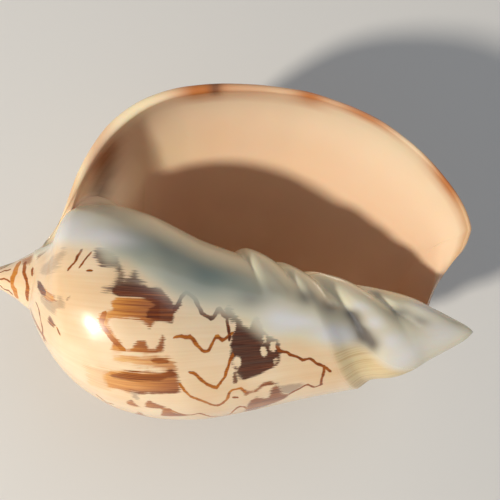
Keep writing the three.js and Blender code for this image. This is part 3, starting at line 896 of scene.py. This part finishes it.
# %% The pale and amber blocks that show
AMBER = [
    (0.95, 0.5, 0.14, 0.5, [
     (279, 38.7), (279.5, 44.4), (278.5, 47.3), (268.5, 47.7), (268.5, 46.7), (265.5, 45.7),
     (267, 45.1), (269, 43.4), (269.5, 41.8), (269, 37.8), (267.5, 37.1), (265.5, 37.2),
     (261, 38.6), (259, 39.5), (255.5, 40.7), (254.5, 41.6), (257.5, 43), (259, 43.5), (259, 44.8),
     (255.5, 45.7), (255.5, 47), (258, 47.6), (262.5, 48), (261, 48.8), (256, 48.8), (254, 48.6),
     (253.5, 45), (254, 41.7), (253.5, 40.1), (254, 38), (258.5, 38.6), (261.5, 37.6),
     (262.5, 36.1), (264.5, 35.2), (267.5, 34.9), (270, 35.4), (273, 38), (276, 37.5)]),
    (0.75, 0.9, 0.12, 0.3, [
     (250.5, 38.4), (252, 41.8), (252.5, 42.8), (252, 45.9), (251.5, 49.3), (250.5, 50.6),
     (247.5, 51.4), (245, 51.3), (246, 48.3), (247.5, 46.3), (248.5, 40.5), (248.5, 38.3)]),
    (0.92, 0.7, 0.1, 0.42, [
     (237.5, 35.3), (241, 35.9), (243, 37.9), (244.5, 45.2), (244, 48.2), (246, 50.3),
     (244.5, 51.2), (238, 52.2), (233.5, 52.3), (231.5, 52), (231.5, 48.1), (232, 45.3),
     (230.5, 43.9), (231.5, 42.6), (231, 40.9), (232, 39), (230.5, 36.6)]),
    (0.35, 1.2, 0.1, 0.15, [(243, 32), (243, 37), (229, 37), (228, 32)]),
    (0.95, 0.4, 0.3, 0.4, [
     (222, 40.2), (225, 41.5), (223, 42), (219.5, 42.7), (219, 44), (218.5, 42), (219, 40.4)]),
    (0.95, 0.4, 0.3, 0.45, [
     (224, 44.7), (227, 45.5), (225, 46.1), (223.5, 47.3), (221, 49.2), (219.5, 47.8),
     (219.5, 45.6), (220.5, 44.5)]),
    (1.0, 0.4, 0.35, 0.5, [
     (212.5, 47.5), (217.5, 48.1), (220, 49.1), (216.5, 50.2), (213.5, 51.5), (211, 54.1),
     (209.5, 51.8), (209.5, 49.5), (210, 47.3)]),
    (0.9, 0.5, 0.3, 0.45, [
     (203, 40.6), (212.5, 42.5), (209.5, 43.1), (203.5, 43.7), (199, 50), (195, 51), (193, 46),
     (196, 39)]),
    (0.95, 0.6, 0.42, 0.46, [
     (199.5, 66.1), (212, 66.8), (217, 67.6), (219, 68.5), (217, 69.8), (214, 71.3), (219.5, 71.6),
     (224.5, 71.9), (227, 72.4), (224.5, 73.4), (220, 73.9), (215.5, 74.8), (213.5, 76.1),
     (210, 75.7), (206, 73.9), (203, 72), (198.5, 69.7), (194, 68)]),
    (0.95, 0.5, 0.4, 0.45, [
     (228.5, 65.2), (222, 66.2), (223.5, 66.8), (223.5, 68.2), (225.5, 69.2), (227.5, 70.4),
     (226.5, 71.8), (227.5, 72.4), (230, 71.5), (230, 70), (228, 68.8), (225, 68), (225.5, 66.8)]),
    (0.9, 0.5, 0.16, 0.2, [
     (279.5, 20.1), (277, 22.1), (275.5, 24.2), (273.5, 25.3), (272, 24.2), (270.5, 22.3),
     (271.5, 20.6), (275.5, 20)]),
    (0.4, 0.7, 0.95, 0.9, [
     (273, 18.6), (270.5, 20.6), (271.5, 23.8), (273.5, 25.6), (277, 25.9), (273.5, 27.2),
     (270.5, 27.2), (269, 25.7), (265.5, 24.9), (264.5, 23.6), (265, 22), (266.5, 20)]),
    (0.8, 0.5, 0.3, 0.34, [(705, 9.5), (700, 11.1), (697, 13.3), (674, 13.3), (679, 11.1)]),
]

# %% The dark and veiled blocks that show
DARK = [
    (1.0, 0.4, 0.62, 0.56, [
     (283.5, 37.2), (286, 39), (286, 43.8), (284.5, 44.9), (285, 46.1), (284.5, 47.1), (280, 48.9),
     (276, 50.2), (279, 51.2), (277, 51.6), (272.5, 50.3), (268, 50.1), (268.5, 47.7), (269, 45.9),
     (270, 44.8), (273.5, 44.9), (276, 46.5), (277.5, 45.4), (279, 43.5), (279, 39),
     (280.5, 37.3)]),
    (0.9, 0.9, 0.78, 0.76, [
     (281.5, 35.6), (285, 37.7), (290, 38.2), (293, 37.6), (296, 38.1), (293, 38.9), (287.5, 39.8),
     (288, 40.4), (292.5, 41.5), (287.5, 43), (284, 44.5), (283, 41), (281, 38)]),
    (0.9, 0.4, 0.42, 0.5, [
     (251, 46.3), (251.5, 47.8), (250.5, 49.8), (249.5, 50.2), (248.5, 48.3), (249, 46.6)]),
    (0.8, 0.5, 0.46, 0.55, [
     (240, 37.3), (242.5, 39.9), (244, 42.2), (243.5, 46.2), (244, 49.3), (245.5, 50.3),
     (242, 51.8), (241, 49.2), (239.5, 48.2), (239.5, 46.2), (238.5, 42), (239, 37.7)]),
    (0.75, 0.5, 0.45, 0.55, [
     (232, 40.5), (233, 41.8), (233, 44), (233.5, 48.2), (234, 52), (232, 52), (231.5, 48.1),
     (232, 45.3), (230.5, 43.9), (231.5, 42.2)]),
    (0.5, 0.5, 1.0, 1.0, [
     (231.5, 41.7), (231.5, 43.3), (229, 43.4), (227, 43.7), (226, 42.8), (227, 41.8)]),
    (1.0, 0.45, 0.74, 0.66, [
     (272, 60), (277, 60.7), (277.5, 61.3), (272, 62.9), (266, 64.5), (264.5, 65.9), (268, 66.4),
     (271.5, 67), (271.5, 67.6), (267, 68.3), (263, 69.1), (259.5, 70.4), (257.5, 71.8),
     (255, 72.7), (251.5, 72.6), (249.5, 73.8), (248, 72.9), (241.5, 72.9), (238.5, 71.1),
     (236.5, 69), (235, 66.8), (234.5, 65.4), (236, 64.8), (241.5, 63.8), (244, 62.8),
     (248.5, 62.3), (262.5, 62.4), (269.5, 61.9), (270, 60.9)]),
    (0.9, 0.7, 0.95, 0.95, [(236, 64.8), (242, 63.8), (242, 68), (238, 69), (235.5, 67)]),
    (0.9, 0.3, 0.6, 0.6, [
     (242.5, 63.6), (238, 63.2), (234, 63.2), (232.5, 63.9), (234.5, 64.3), (239, 63.9)]),
    (0.6, 0.8, 1.0, 1.0, [
     (227.5, 72.7), (225, 73.6), (224.5, 75.9), (223.5, 78.1), (220.5, 79.1), (217.5, 77.8),
     (214.5, 76.1), (216, 74.8), (221, 73.9)]),
    (1.0, 0.35, 0.62, 0.55, [
     (285, 17.4), (284, 18.5), (280, 19.8), (277, 21.1), (273.5, 21.3), (271, 20.3), (274, 19),
     (277, 17.9)]),
    (0.9, 0.3, 0.6, 0.6, [(274, 27.6), (275, 28.1), (277.5, 28.7), (275.5, 27.8)]),
    (0.95, 0.35, 0.5, 0.55, [
     (260.5, 22.7), (262.5, 23.5), (260.5, 24.2), (258, 25.3), (256.5, 24.4), (256, 23),
     (256.5, 22.3)]),
    (0.4, 1.2, 0.96, 0.96, [
     (293, 17.7), (301.5, 18.5), (302, 20.7), (300, 23.5), (304, 25.2), (301, 26), (295, 25),
     (291.5, 24.7), (290, 23.1), (290, 19.5)]),
    (1, 0.7, 0.88, 0.86, [
     (302, 32.5), (304, 33.4), (303, 34.8), (301.5, 36.4), (299, 37.6), (295, 38.3), (293.5, 36.9),
     (293.5, 34.5), (295.5, 33.5), (298.5, 32.6)]),
    (0.9, 0.4, 0.55, 0.55, [(629, 13.8), (623, 13.8), (620, 14.4), (630, 14.4)]),
]
# Light tents that cut into the dark blocks.
TENTS = [
    [(269.5, 62.2), (268, 63), (263, 63), (262, 62.4), (265.5, 62)],
    [(248.5, 62.9), (249.5, 63.8), (248, 64.5), (244, 64.6), (242, 64.2), (244, 63.4)],
    [(254, 68.8), (253, 69.6), (250, 70.1), (247, 69.9), (247.5, 69.2), (251.5, 68.6)],
    [(260, 69), (259, 69.6), (256, 69.9), (255.5, 69.3), (258, 68.8)],
    [(254.5, 70.5), (256, 71), (255.5, 71.8), (251.5, 72.1), (249.5, 71.7), (250.5, 70.7)],
    [(244.5, 71.5), (246, 72.3), (242.5, 72.4), (242, 71.8)],
]

# %% The lines that show
# Each line: width in mm, tone, points.
LINES = [
    (0.8, 0.6, [
     (274, 50.2), (277, 50.9), (280.5, 51.4), (283.5, 52.1), (282, 53.2), (280, 54.2), (276.5, 55),
     (272.5, 55.9), (269.5, 57.8), (271, 58.5), (275, 58.9), (275.5, 59.3), (270.5, 60.8),
     (271, 62.1)]),
    (0.7, 0.36, [
     (261, 50.7), (262, 52.1), (260.5, 53.2), (261.5, 53.7), (260, 54.3), (257.5, 55.2),
     (253.5, 56.9), (254, 57.7), (256.5, 58.3), (261, 59.3), (258, 60.5), (261, 61.8),
     (262, 62.6)]),
    (0.6, 0.6, [(258, 61.8), (263, 61.7), (270, 61.1)]),
    (1.0, 0.34, [(271, 36.4), (266, 35.7), (262.5, 37), (258, 38.8), (254.5, 40.6)]),
    (0.7, 0.36, [
     (243.5, 54.1), (243, 54.9), (241, 55.7), (238, 56.8), (234, 58.5), (232, 59.8), (234, 60.4),
     (238, 61.2), (242.5, 61.9), (247.5, 62.5), (250.5, 62.7)]),
    (0.65, 0.3, [
     (237.5, 52), (234.5, 52.8), (232, 53.5), (229, 54.5), (227, 55.6), (224, 57.1), (220, 58.7),
     (218, 60.2), (220, 61.5), (224.5, 62.3), (228, 62.8), (229, 63.5), (229.5, 65),
     (225.5, 66.1)]),
    (0.7, 0.45, [(223.5, 63.6), (222, 64.4)]),
    (0.6, 0.34, [
     (219.5, 47.8), (219.5, 49.5), (215, 50.9), (212, 53), (211.5, 54.3), (212.5, 55.9),
     (208.5, 57.4), (200.5, 59.4), (195.5, 60.9), (203, 62.9), (209, 64), (212.5, 64.6),
     (210.5, 65.8), (206, 66.7)]),
    (0.55, 0.4, [(218, 32.9), (215.5, 33.8), (211.5, 34.7), (214, 36.6)]),
    (0.55, 0.4, [(209.5, 34.3), (208.5, 35.6), (205, 37.4), (203, 38.7), (201.5, 40.2)]),
    (0.8, 0.44, [
     (253, 72.1), (249.5, 72.8), (248.5, 74.3), (246.5, 75.1), (245.5, 76.5), (242, 78.2),
     (243, 79.5), (240.5, 80.6), (237, 82.1), (234, 83.5), (230, 84.8)]),
    (0.65, 0.44, [
     (236, 83), (227, 83.2), (221.5, 82.9), (218, 83.2), (216, 81.8), (221, 79.9), (216.5, 77.4),
     (213.5, 76.1)]),
    (0.45, 0.4, [(258, 25.3), (256, 25.9), (254.5, 26.3)]),
    (0.5, 0.45, [(262.5, 17.7), (259, 19), (248, 20), (232, 20.1)]),
    (0.5, 0.5, [(302.5, 29.7), (299.5, 29.1), (294, 28.2), (290.5, 27.4)]),
    (0.5, 0.5, [(301, 31.8), (298.5, 30.9), (295, 30.5), (292, 29.9)]),
    (0.5, 0.5, [(291, 31.6), (291, 32.7)]),
    (1.5, 0.24, [(690, 9.7), (661, 9.5), (642, 8.9), (628, 8.9), (616, 9.8), (595, 10)]),
    (0.9, 0.42, [
     (682, 11.6), (667, 12.1), (657, 12.2), (644, 13.3), (632, 13.8), (620, 13.5), (607, 13.6)]),
    (0.7, 0.45, [(664, 14.5), (654, 14.8)]),
]
print("placed by hand:", len(AMBER) + len(DARK), "blocks,", len(LINES), "lines")

# %% The same kinds of marks, by rule, on the sides that don't show
# The side that shows lies between about 190 and 310 degrees.
SEED = 11
BACK_BELT = (35.5, 50.5)
FRONT_BELT_TOP, FRONT_BELT_BOTTOM = (61.5, 64), (71, 75)
draw = np.random.default_rng(SEED).uniform
AMBER_TENTS = []


def zigzag(at_back, top, bottom, swing, drift):
    depths = top + np.concatenate([[0], np.cumsum(draw(1.1, 3.3, 16))])
    depths = depths[depths < bottom]
    turns = np.where(np.arange(len(depths)) % 2, 1, -1) * draw(0.2, 1.3, len(depths))
    return [(at_back + swing * t + drift * (d - top), d) for t, d in zip(turns, depths)]


def ragged_block(first, last, top, bottom, ragged=1.4):
    tops = [(b, top + draw(-ragged, ragged)) for b in np.arange(first, last, 2.3)]
    bottoms = [(b, bottom + draw(-ragged, ragged)) for b in np.arange(last, first, -2.6)]
    return tops + bottoms


def tent(at_back, peak, wide, tall):
    lean = draw(-0.4, 0.4) * wide
    return [(at_back - wide, peak + tall), (at_back + lean, peak),
            (at_back + wide, peak + 0.9 * tall), (at_back + 0.5 * lean, peak + 0.6 * tall)]


# The back belt: amber blocks with darker streaks and light tents.
at = 2.0
while at < 182:
    wide = draw(9, 24)
    AMBER.append((0.95, 0.7, 0.1, 0.46, ragged_block(at, at + wide, *BACK_BELT, 1.8)))
    for streak in range(int(wide / 4)):
        first = at + draw(0.02, 0.85) * wide
        last = min(first + draw(1.5, 5), at + wide)
        row = ragged_block(first, last, draw(36, 44), draw(48, 51))
        DARK.append((0.85, 0.6, 0.45, draw(0.5, 0.7), row))
    for number in range(1 + int(wide / 9)):
        middle = at + draw(0.2, 0.8) * wide
        shape = tent(middle, draw(37, 44), draw(1.5, 4.5), draw(2.5, 5.5))
        AMBER_TENTS.append(shape)
        TENTS.append(shape)
    at += wide + draw(2, 8)
# The front belt: dark blocks with light tents.
at = 4.0
while at < 176:
    wide = draw(7, 20)
    tone = draw(0.42, 0.75)
    top, bottom = draw(*FRONT_BELT_TOP), draw(*FRONT_BELT_BOTTOM)
    row = ragged_block(at, at + wide, top, bottom, 1.6)
    DARK.append((1.0, 0.45, tone, tone - 0.08, row))
    for number in range(1 + int(wide / 8)):
        middle = at + draw(0.15, 0.85) * wide
        TENTS.append(tent(middle, draw(63, 70), draw(1, 3), draw(1.2, 3.4)))
    at += wide + draw(4, 12)
# Zigzag lines between the belts, then in front of them and behind them.
for at in np.arange(3, 188, 7.0):
    at += draw(-2.5, 2.5)
    top, bottom = draw(50, 54), draw(58, 65)
    LINES.append((draw(0.45, 0.75), draw(0.3, 0.55), zigzag(at, top, bottom, 2.4, 0.2)))
for at in np.arange(6, 190, 12.0):
    at += draw(-4, 4)
    LINES.append((0.65, draw(0.35, 0.5), zigzag(at, 74, draw(80, 90), 3.0, -0.4)))
    top = draw(17, 26)
    LINES.append((0.5, 0.45, zigzag(at + 5, top, top + draw(3, 9), 1.5, 0.4)))
# Spots near the suture, and last the lines on the spire.
for at in list(np.arange(8, 240, 21.0)) + [322, 350]:
    at += draw(-5, 5)
    reach = draw(2, 5)
    row = [(at - 4, 15.3), (at + 5, 15.1), (at + 2, 16 + reach), (at - 1, 17 + reach)]
    AMBER.append((0.95, 0.5, 0.5, 0.3, row))
for at in np.arange(366, 1080, 33.0):
    # The stretch of the spire that shows has its own marks.
    if 575 < at < 700:
        continue
    at += draw(-8, 8)
    upper, lower = float(suture_depth(at)), float(suture_depth(at - 360))
    depths = np.linspace(upper + 0.2, lower - 0.2, 5)
    LINES.append((0.6, 0.45, [(at + 7 * draw(-1, 1), d) for d in depths]))
print("in all:", len(AMBER) + len(DARK), "blocks,", len(LINES), "lines")

# %% Store the blocks on the mesh
TENT_SOFTNESS = 0.3
BLEND = 3
count = len(back)


def paint(blocks, tents):
    level, tone, strength = np.full(count, -REACH), np.zeros(count), np.zeros(count)
    total = np.full(count, 1e-6)
    for strength_here, soft, first_tone, last_tone, outline in blocks:
        near, signed = inside_outline(outline)
        share = signed / soft
        weight = np.exp(BLEND * np.clip(share, -3, 3))
        depths = [point[1] for point in outline]
        way = np.clip((depth[near] - min(depths)) / (max(depths) - min(depths)), 0, 1)
        tone[near] += weight * mix(first_tone, last_tone, way)
        strength[near] += weight * strength_here
        total[near] += weight
        level[near] = np.maximum(level[near], share)
    for outline in tents:
        near, signed = inside_outline(outline)
        level[near] = np.minimum(level[near], -signed / TENT_SOFTNESS)
    return level, tone / total, strength / total


for layer, fields in (("amber", paint(AMBER, AMBER_TENTS)), ("dark", paint(DARK, TENTS))):
    for name, values in zip(("level", "tone", "strength"), fields):
        store(mesh, layer + " " + name, values)
    print(layer, "corners inside a block:", int((fields[0] > 0).sum()))

# %% Store the lines on the mesh
# Lines that come close to each other go to different channels, so that the two sides of
# one line never meet the sides of another. A line fades beyond LINE_REACH from its middle.
CHANNELS = 3
APART = 1.6
LINE_REACH = 0.9


def new_channel():
    return {"side": np.full(count, REACH), "half": np.full(count, -1.0),
            "tone": np.zeros(count), "near": np.full(count, FAR), "taken": np.zeros(count, bool)}


channels = [new_channel() for number in range(CHANNELS)]
for width, tone_here, points in LINES:
    near, side_of, distance, past_end = beside_line(points)
    close = near[distance < APART]
    free = [c for c in channels if not c["taken"][close].any()]
    chosen = (free or channels)[0 if free else -1]
    chosen["taken"][close] = True
    half = 0.5 * width - past_end - 2 * np.maximum(distance - LINE_REACH, 0)
    closer = distance < chosen["near"][near]
    for name, value in (("side", side_of), ("half", half), ("tone", tone_here), ("near", distance)):
        chosen[name][near] = np.where(closer, value, chosen[name][near])
for number, channel in enumerate(channels):
    for name in ("side", "half", "tone"):
        store(mesh, f"line {number} {name}", channel[name])
    print("channel", number, "holds", int(channel["taken"].sum()), "corners")

# %% [markdown]
# ## Tints of the glaze, the lining and the lip
# The glaze isn't one colour. It is greenish grey along its middle, partly its own tint and
# partly painted shade where the light turns away from it. It is white where it is thick, with
# painted highlights and reflections on the plait crests, and tan where it is thin over the
# plaits. Painted shade darkens the valleys between the plaits. The lining is peach, with
# painted shade that darkens it deeper in the hollow. The lip's rim has brown marks where the
# pattern runs over it, and pale marks, one of them painted light just inside the back corner.
# These are soft, so a few round spots of influence are enough.

# %% Soft tints
# Each row: `back`, depth, size across in degrees, size along in mm, amount.
def spots(across, rows):
    total = np.zeros(count)
    for at, at_depth, wide, long, amount in rows:
        shape = ((across - at) / wide) ** 2 + ((depth - at_depth) / long) ** 2
        total += amount * np.exp(-shape)
    return np.clip(total, 0, 1)


mouth_side = (outer_side & (back < 361)) | ((side > 0.5) & (side < 1.5))
GLAZE_TINTS = {
    # Partly greenish glaze, partly painted shade where the light turns away.
    "green_and_shade": [(309, 46, 12, 9, 0.6), (296, 57, 12, 8, 0.5), (287, 66, 10, 5, 0.28),
              (309, 38, 9, 5, 0.3), (289, 53, 17, 16, 0.42)],
    # Partly white glaze, partly painted highlight and reflection on the plait crests.
    "white and highlight": [(319, 24, 16, 6, 0.95), (312, 33, 8, 5, 0.85), (310, 38, 6, 4, 0.5),
              (270, 72, 10, 4, 0.9), (269, 77.5, 6, 4, 0.8), (261, 83.5, 7, 4, 0.9),
              (255, 88, 8, 4, 0.8), (292, 91, 9, 2.2, 0.8), (272, 94.2, 10, 2.2, 0.9),
              (252, 98.5, 10, 3, 0.8), (334, 107, 20, 3.5, 0.6), (230, 102, 20, 5, 0.9),
              (320, 88.5, 8, 1.5, 0.2), (260, 112, 45, 6, 0.85)],
    # Painted shade, mostly in the valleys between the plaits.
    "dark": [(291, 78, 9, 2.4, 0.7), (286, 83.7, 9, 2.4, 0.8), (279, 89, 9, 2.2, 0.95),
             (252, 92.6, 9, 2.2, 0.8), (298, 100.7, 14, 2.8, 0.75), (268, 90.2, 9, 1.8, 0.9),
             (258, 91.6, 8, 1.8, 0.8), (245, 94.4, 8, 1.6, 0.7), (337, 96, 12, 2, 0.4),
             (286, 105.6, 14, 2.4, 0.5), (282, 65.6, 6, 3, 0.45), (292, 70, 7, 3, 0.3)],
}
for name, rows in GLAZE_TINTS.items():
    store(mesh, name, np.where(mouth_side, spots(back, rows), 0))
inside_back = np.where(side > 1.5, back, np.where(side > 0.5, back - 360, 0))
# Painted shade: the lining darkens deeper in the hollow.
store(mesh, "hollow shade", np.clip(inside_back / 90, 0, 1))
corner = (side > 0.5) * ease((back - 360) / 5) * (1 - ease((depth - 23) / 5))
store(mesh, "within", np.clip(ease(side - 0.6) + np.where(side < 1.5, corner, 0), 0, 1))

# %% Marks on the lip's rim
# Each row: place along the rim in mm of depth, width inward in mm, length, reach, amount.
MM_PER_DEGREE = 0.8
OFF_RIM = 60.0
on_edge = (side > 0.01) & (side < 1.99) & (back < 359)
inward = np.where(on_edge, 0.0, OFF_RIM)
inward = np.where(side > 1.5, (back - free_edge(along)) * MM_PER_DEGREE, inward)
RIM_MARKS = {
    "rim brown": [(7, 27, 8, 3.5, 0.95), (1.5, 21.5, 3, 1.3, 0.7), (0.5, 50, 3.5, 6, 0.85),
                  (0.5, 62, 3, 12, 0.6), (1, 76, 3, 4, 0.8), (0, 89, 1.8, 9, 0.9),
                  (0.5, 110, 2.5, 6, 1), (0.5, 117, 3, 4, 0.4)],
    "rim dark": [(0.5, 54, 1.8, 1.5, 0.9), (16, 25.5, 5, 3, 0.6), (9, 28, 5, 2, 0.35)],
    # Partly the pale rim, partly a painted patch of light just inside the lip near the back corner.
    "rim cream and light": [(6, 23, 9, 1.6, 0.7), (0, 115, 3, 3, 0.3), (0, 36, 2, 4, 0.6),
                  (26, 40, 12, 9, 0.5)],
}
for name, rows in RIM_MARKS.items():
    values = np.where(inward < OFF_RIM / 2, spots(inward, rows), 0)
    store(mesh, name, values)
    print(name, "marks corners:", int((values > 0.5).sum()))

# %% [markdown]
# ## Material
# One material covers the shell, because its finishes run into each other without a seam.
# From below to above it has: cream, brown blocks and lines, the glaze, and then the
# lining inside the mouth. A gloss coat lies over all of it.

# %% Growth lines, shared by all the layers
make, wanted, result = new_group(
    "Growth lines", "ShaderNodeTree", {"Spacing": 1.0, "Seed": 0.0},
    {"Streak": "Float", "Fine": "Float", "Wobble": "Float"},
)


def attribute(name):
    return make.get("ShaderNodeAttribute", output="Fac", attribute_name=name)


def noise(place, scale, detail, roughness=0.5):
    sockets = {"Vector": place, "Scale": scale, "Detail": detail, "Roughness": roughness}
    return make.get("ShaderNodeTexNoise", sockets)


def object_place():
    return make.get("ShaderNodeTexCoord", output="Object")


# Streaks change with each degree of coiling, and far more slowly with each mm of depth, so
# they are long along the axis and thin round it. The grain's scale is per metre.
ALONG_AXIS = 0.035
BROAD_STREAKS = 0.55
FINE_STREAKS = 3.0
GRAIN = 420.0
along_growth = attribute("back") / wanted["Spacing"]
place = make.vector(along_growth, attribute("depth") * ALONG_AXIS, wanted["Seed"])
make.fill(result["Streak"], make.ramp(noise(place, BROAD_STREAKS, 3.0, 0.6), 0.3, 0.7))
make.fill(result["Fine"], make.ramp(noise(place, FINE_STREAKS, 2.0), 0.3, 0.7))
make.fill(result["Wobble"], noise(object_place(), GRAIN, 2.0) - 0.5)

# %% The layers
CLOUDS = 45.0
BLOCK_EDGE = (-0.5, 0.5)
LINE_EDGE = (-0.14, 0.12)
growth = make.tree
material = bpy.data.materials.new("glazed shell")
material.use_nodes = True
make = Maker(material.node_tree)
bsdf = material.node_tree.nodes["Principled BSDF"].inputs
# The mixing node has sockets for other kinds of values too, so its colours go by number.
COLOUR_A, COLOUR_B, COLOUR_RESULT = 6, 7, 2


def mixed(factor, low, high):
    sockets = {"Factor": factor, COLOUR_A: low, COLOUR_B: high}
    return make.get("ShaderNodeMix", sockets, output=COLOUR_RESULT, data_type="RGBA")


def colour(red, green_and_shade, blue):
    share = np.array([red, green_and_shade, blue]) / 255
    linear = np.where(share > 0.04045, ((share + 0.055) / 1.055) ** 2.4, share / 12.92)
    return (*[float(x) for x in linear], 1.0)


def swing(value, most):
    return make.ramp(value, 0, 1, -most, most, kind="LINEAR")


def brown(value):
    node = make.node("ShaderNodeValToRGB", {0: value})
    stops = node.color_ramp.elements
    stops[0].color = colour(228, 176, 88)
    stops[1].color = colour(136, 110, 98)
    for position, tint in ((0.2, (204, 130, 40)), (0.4, (156, 80, 18)), (0.6, (98, 42, 14)),
                           (0.8, (66, 34, 20))):
        stops.new(position).color = colour(*tint)
    return Value(make, node.outputs["Color"])


def tinted(below, rows):
    for name, tint in rows:
        below = mixed(attribute(name), below, colour(*tint))
    return below


lines = make.node("ShaderNodeGroup", node_tree=growth).outputs
streak, fine, wobble = (Value(make, socket) for socket in lines)
cloud = noise(object_place(), CLOUDS, 3.0)
cream = mixed(make.ramp(cloud, 0.35, 0.7), colour(240, 218, 186), colour(229, 197, 156))
outside = mixed(streak * 0.22, cream, colour(216, 175, 130))

tone_drift = swing(streak, 0.1) + swing(fine, 0.09)
ragged = wobble * 1.4 + swing(fine, 0.7)
for layer in ("amber", "dark"):
    mask = make.ramp(attribute(layer + " level") + ragged, *BLOCK_EDGE)
    mask = mask * attribute(layer + " strength") * make.ramp(fine, 0, 1, 0.94, 1, kind="LINEAR")
    outside = mixed(mask, outside, brown(attribute(layer + " tone") + tone_drift))
for number in range(CHANNELS):
    off = make.math("ABSOLUTE", attribute(f"line {number} side") + wobble)
    mask = make.ramp(attribute(f"line {number} half") - off, *LINE_EDGE)
    outside = mixed(mask, outside, brown(attribute(f"line {number} tone") + tone_drift))

# %% Front band, glaze and lining
scar = make.ramp(streak, 0.4, 1.0)
rough_band = mixed(scar * 0.5, colour(232, 210, 164), colour(198, 158, 108))
rough_band = mixed(fine * 0.15, rough_band, colour(204, 168, 118))
outside = mixed(attribute("band"), outside, rough_band)
# The green tint is partly painted shade, the white tint is partly painted highlight and reflection,
# and the dark tint is painted shade.
glaze_colour = tinted(colour(225, 217, 188), [
    ("green_and_shade", (120, 144, 142)), ("white and highlight", (229, 228, 228)), ("dark", (104, 101, 98))])
cover = attribute("glaze") * make.ramp(cloud, 0.3, 0.7, 0.86, 1.0)
skin_colour = mixed(cover, outside, glaze_colour)
# Painted shade: the lining turns browner deeper in the hollow.
lining = mixed(attribute("hollow shade"), colour(247, 225, 196), colour(208, 158, 118))
lining = mixed(make.ramp(cloud, 0.4, 0.75) * 0.3, lining, colour(238, 200, 160))
tint = mixed(attribute("within"), skin_colour, lining)
# The rim's last tint is partly pale rim and partly painted light near the lip's back corner.
tint = tinted(tint, [
    ("rim brown", (184, 114, 60)), ("rim dark", (104, 66, 48)), ("rim cream and light", (242, 224, 184))])
make.fill(bsdf["Base Color"], tint)

# %% Gloss and fine relief
SHELL_ROUGHNESS = (0.2, 0.27)
BAND_ROUGHNESS = 0.4
SHELL_BUMP, BAND_BUMP = 0.02, 0.09
gloss = attribute("band") * BAND_ROUGHNESS + make.ramp(cloud, 0.3, 0.7, *SHELL_ROUGHNESS)
make.fill(bsdf["Roughness"], gloss)
rough_spots = make.math("MULTIPLY_ADD", attribute("band"), BAND_BUMP, SHELL_BUMP)
sockets = {"Strength": rough_spots, "Distance": 0.0001, "Height": fine}
make.fill(bsdf["Normal"], make.get("ShaderNodeBump", sockets))
# Light goes a little way into the shell, which softens the edges of shadows.
for name, value in (("Subsurface Weight", 0.35), ("Subsurface Radius", (1.0, 0.5, 0.3)),
                    ("Subsurface Scale", 0.004), ("Coat Weight", 0.35), ("Coat Roughness", 0.06)):
    make.fill(bsdf[name], value)
print("material:", len(material.node_tree.nodes), "nodes")

# %% Grow the shell
def add_object(name, data):
    item = bpy.data.objects.new(name, data)
    bpy.context.scene.collection.objects.link(item)
    return item


raw = add_object("shell_raw", mesh)
modifier = raw.modifiers.new("coil", "NODES")
modifier.node_group = coil
identifiers = {item.name: item.identifier for item in coil.interface.items_tree
               if item.in_out == "INPUT"}
low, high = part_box("shell")
modifier[identifiers["Place"]] = ((low[0] + high[0]) / 2, (low[1] + high[1]) / 2, low[2])
modifier[identifiers["Material"]] = material
bpy.context.view_layer.update()
graph = bpy.context.evaluated_depsgraph_get()
grown = bpy.data.meshes.new_from_object(
    raw.evaluated_get(graph), preserve_all_data_layers=True, depsgraph=graph
)
grown.name = "shell_surface"
shell = add_object("shell_surface", grown)
bpy.data.objects.remove(raw)
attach(shell, "root")
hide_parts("shell")
corners = np.empty(len(grown.vertices) * 3)
grown.vertices.foreach_get("co", corners)
corners = corners.reshape(-1, 3)
print("grown shell, mm:", np.round(np.ptp(corners, 0) / MM, 2), "low", corners.min(0) / MM)
print("triangles:", sum(len(p.vertices) - 2 for p in grown.polygons))

# %% The floor, the light and the camera
floor_mesh = bpy.data.meshes.new("floor")
floor_mesh.from_pydata([(-3, -3, 0), (3, -3, 0), (3, 3, 0), (-3, 3, 0)], [], [(0, 1, 2, 3)])
floor = add_object("floor", floor_mesh)
floor_material = bpy.data.materials.new("pale floor")
floor_material.use_nodes = True
floor_shader = floor_material.node_tree.nodes["Principled BSDF"].inputs
floor_shader["Base Color"].default_value = (0.72, 0.71, 0.69, 1)
floor_shader["Roughness"].default_value = 0.8
floor_mesh.materials.append(floor_material)

world = bpy.data.worlds.new("studio")
bpy.context.scene.world = world
world.use_nodes = True
background = world.node_tree.nodes["Background"].inputs
background["Color"].default_value = (0.9, 0.93, 1.0, 1)
background["Strength"].default_value = 0.22


def area_light(name, direction, distance, size, watts, tint):
    light = bpy.data.lights.new(name, "AREA")
    light.shape = "DISK"
    light.size = size
    light.energy = watts
    light.color = tint
    lamp = add_object(name, light)
    way = Vector(direction).normalized()
    lamp.location = way * distance + Vector((0, 0, 0.03))
    lamp.rotation_euler = way.to_track_quat("Z", "Y").to_euler()


area_light("key", (-0.66, -0.51, 0.55), 1.2, 0.12, 15, (1.0, 0.93, 0.82))
area_light("fill", (0.3, 0.5, 0.9), 1.5, 1.2, 3.5, (0.9, 0.95, 1.0))

# The plain view transform keeps the colours as the photo shows them.
bpy.context.scene.view_settings.view_transform = "Standard"
camera_data = bpy.data.cameras.new("camera")
camera_data.lens = 43.2
camera_data.sensor_width = 36
camera_data.clip_start = 0.01
camera = add_object("camera", camera_data)
camera.location = (-0.015181, -0.024276, 0.182463)
camera.rotation_euler = [math.radians(a) for a in (9.8715, -8.5136, 4.2467)]
bpy.context.scene.camera = camera
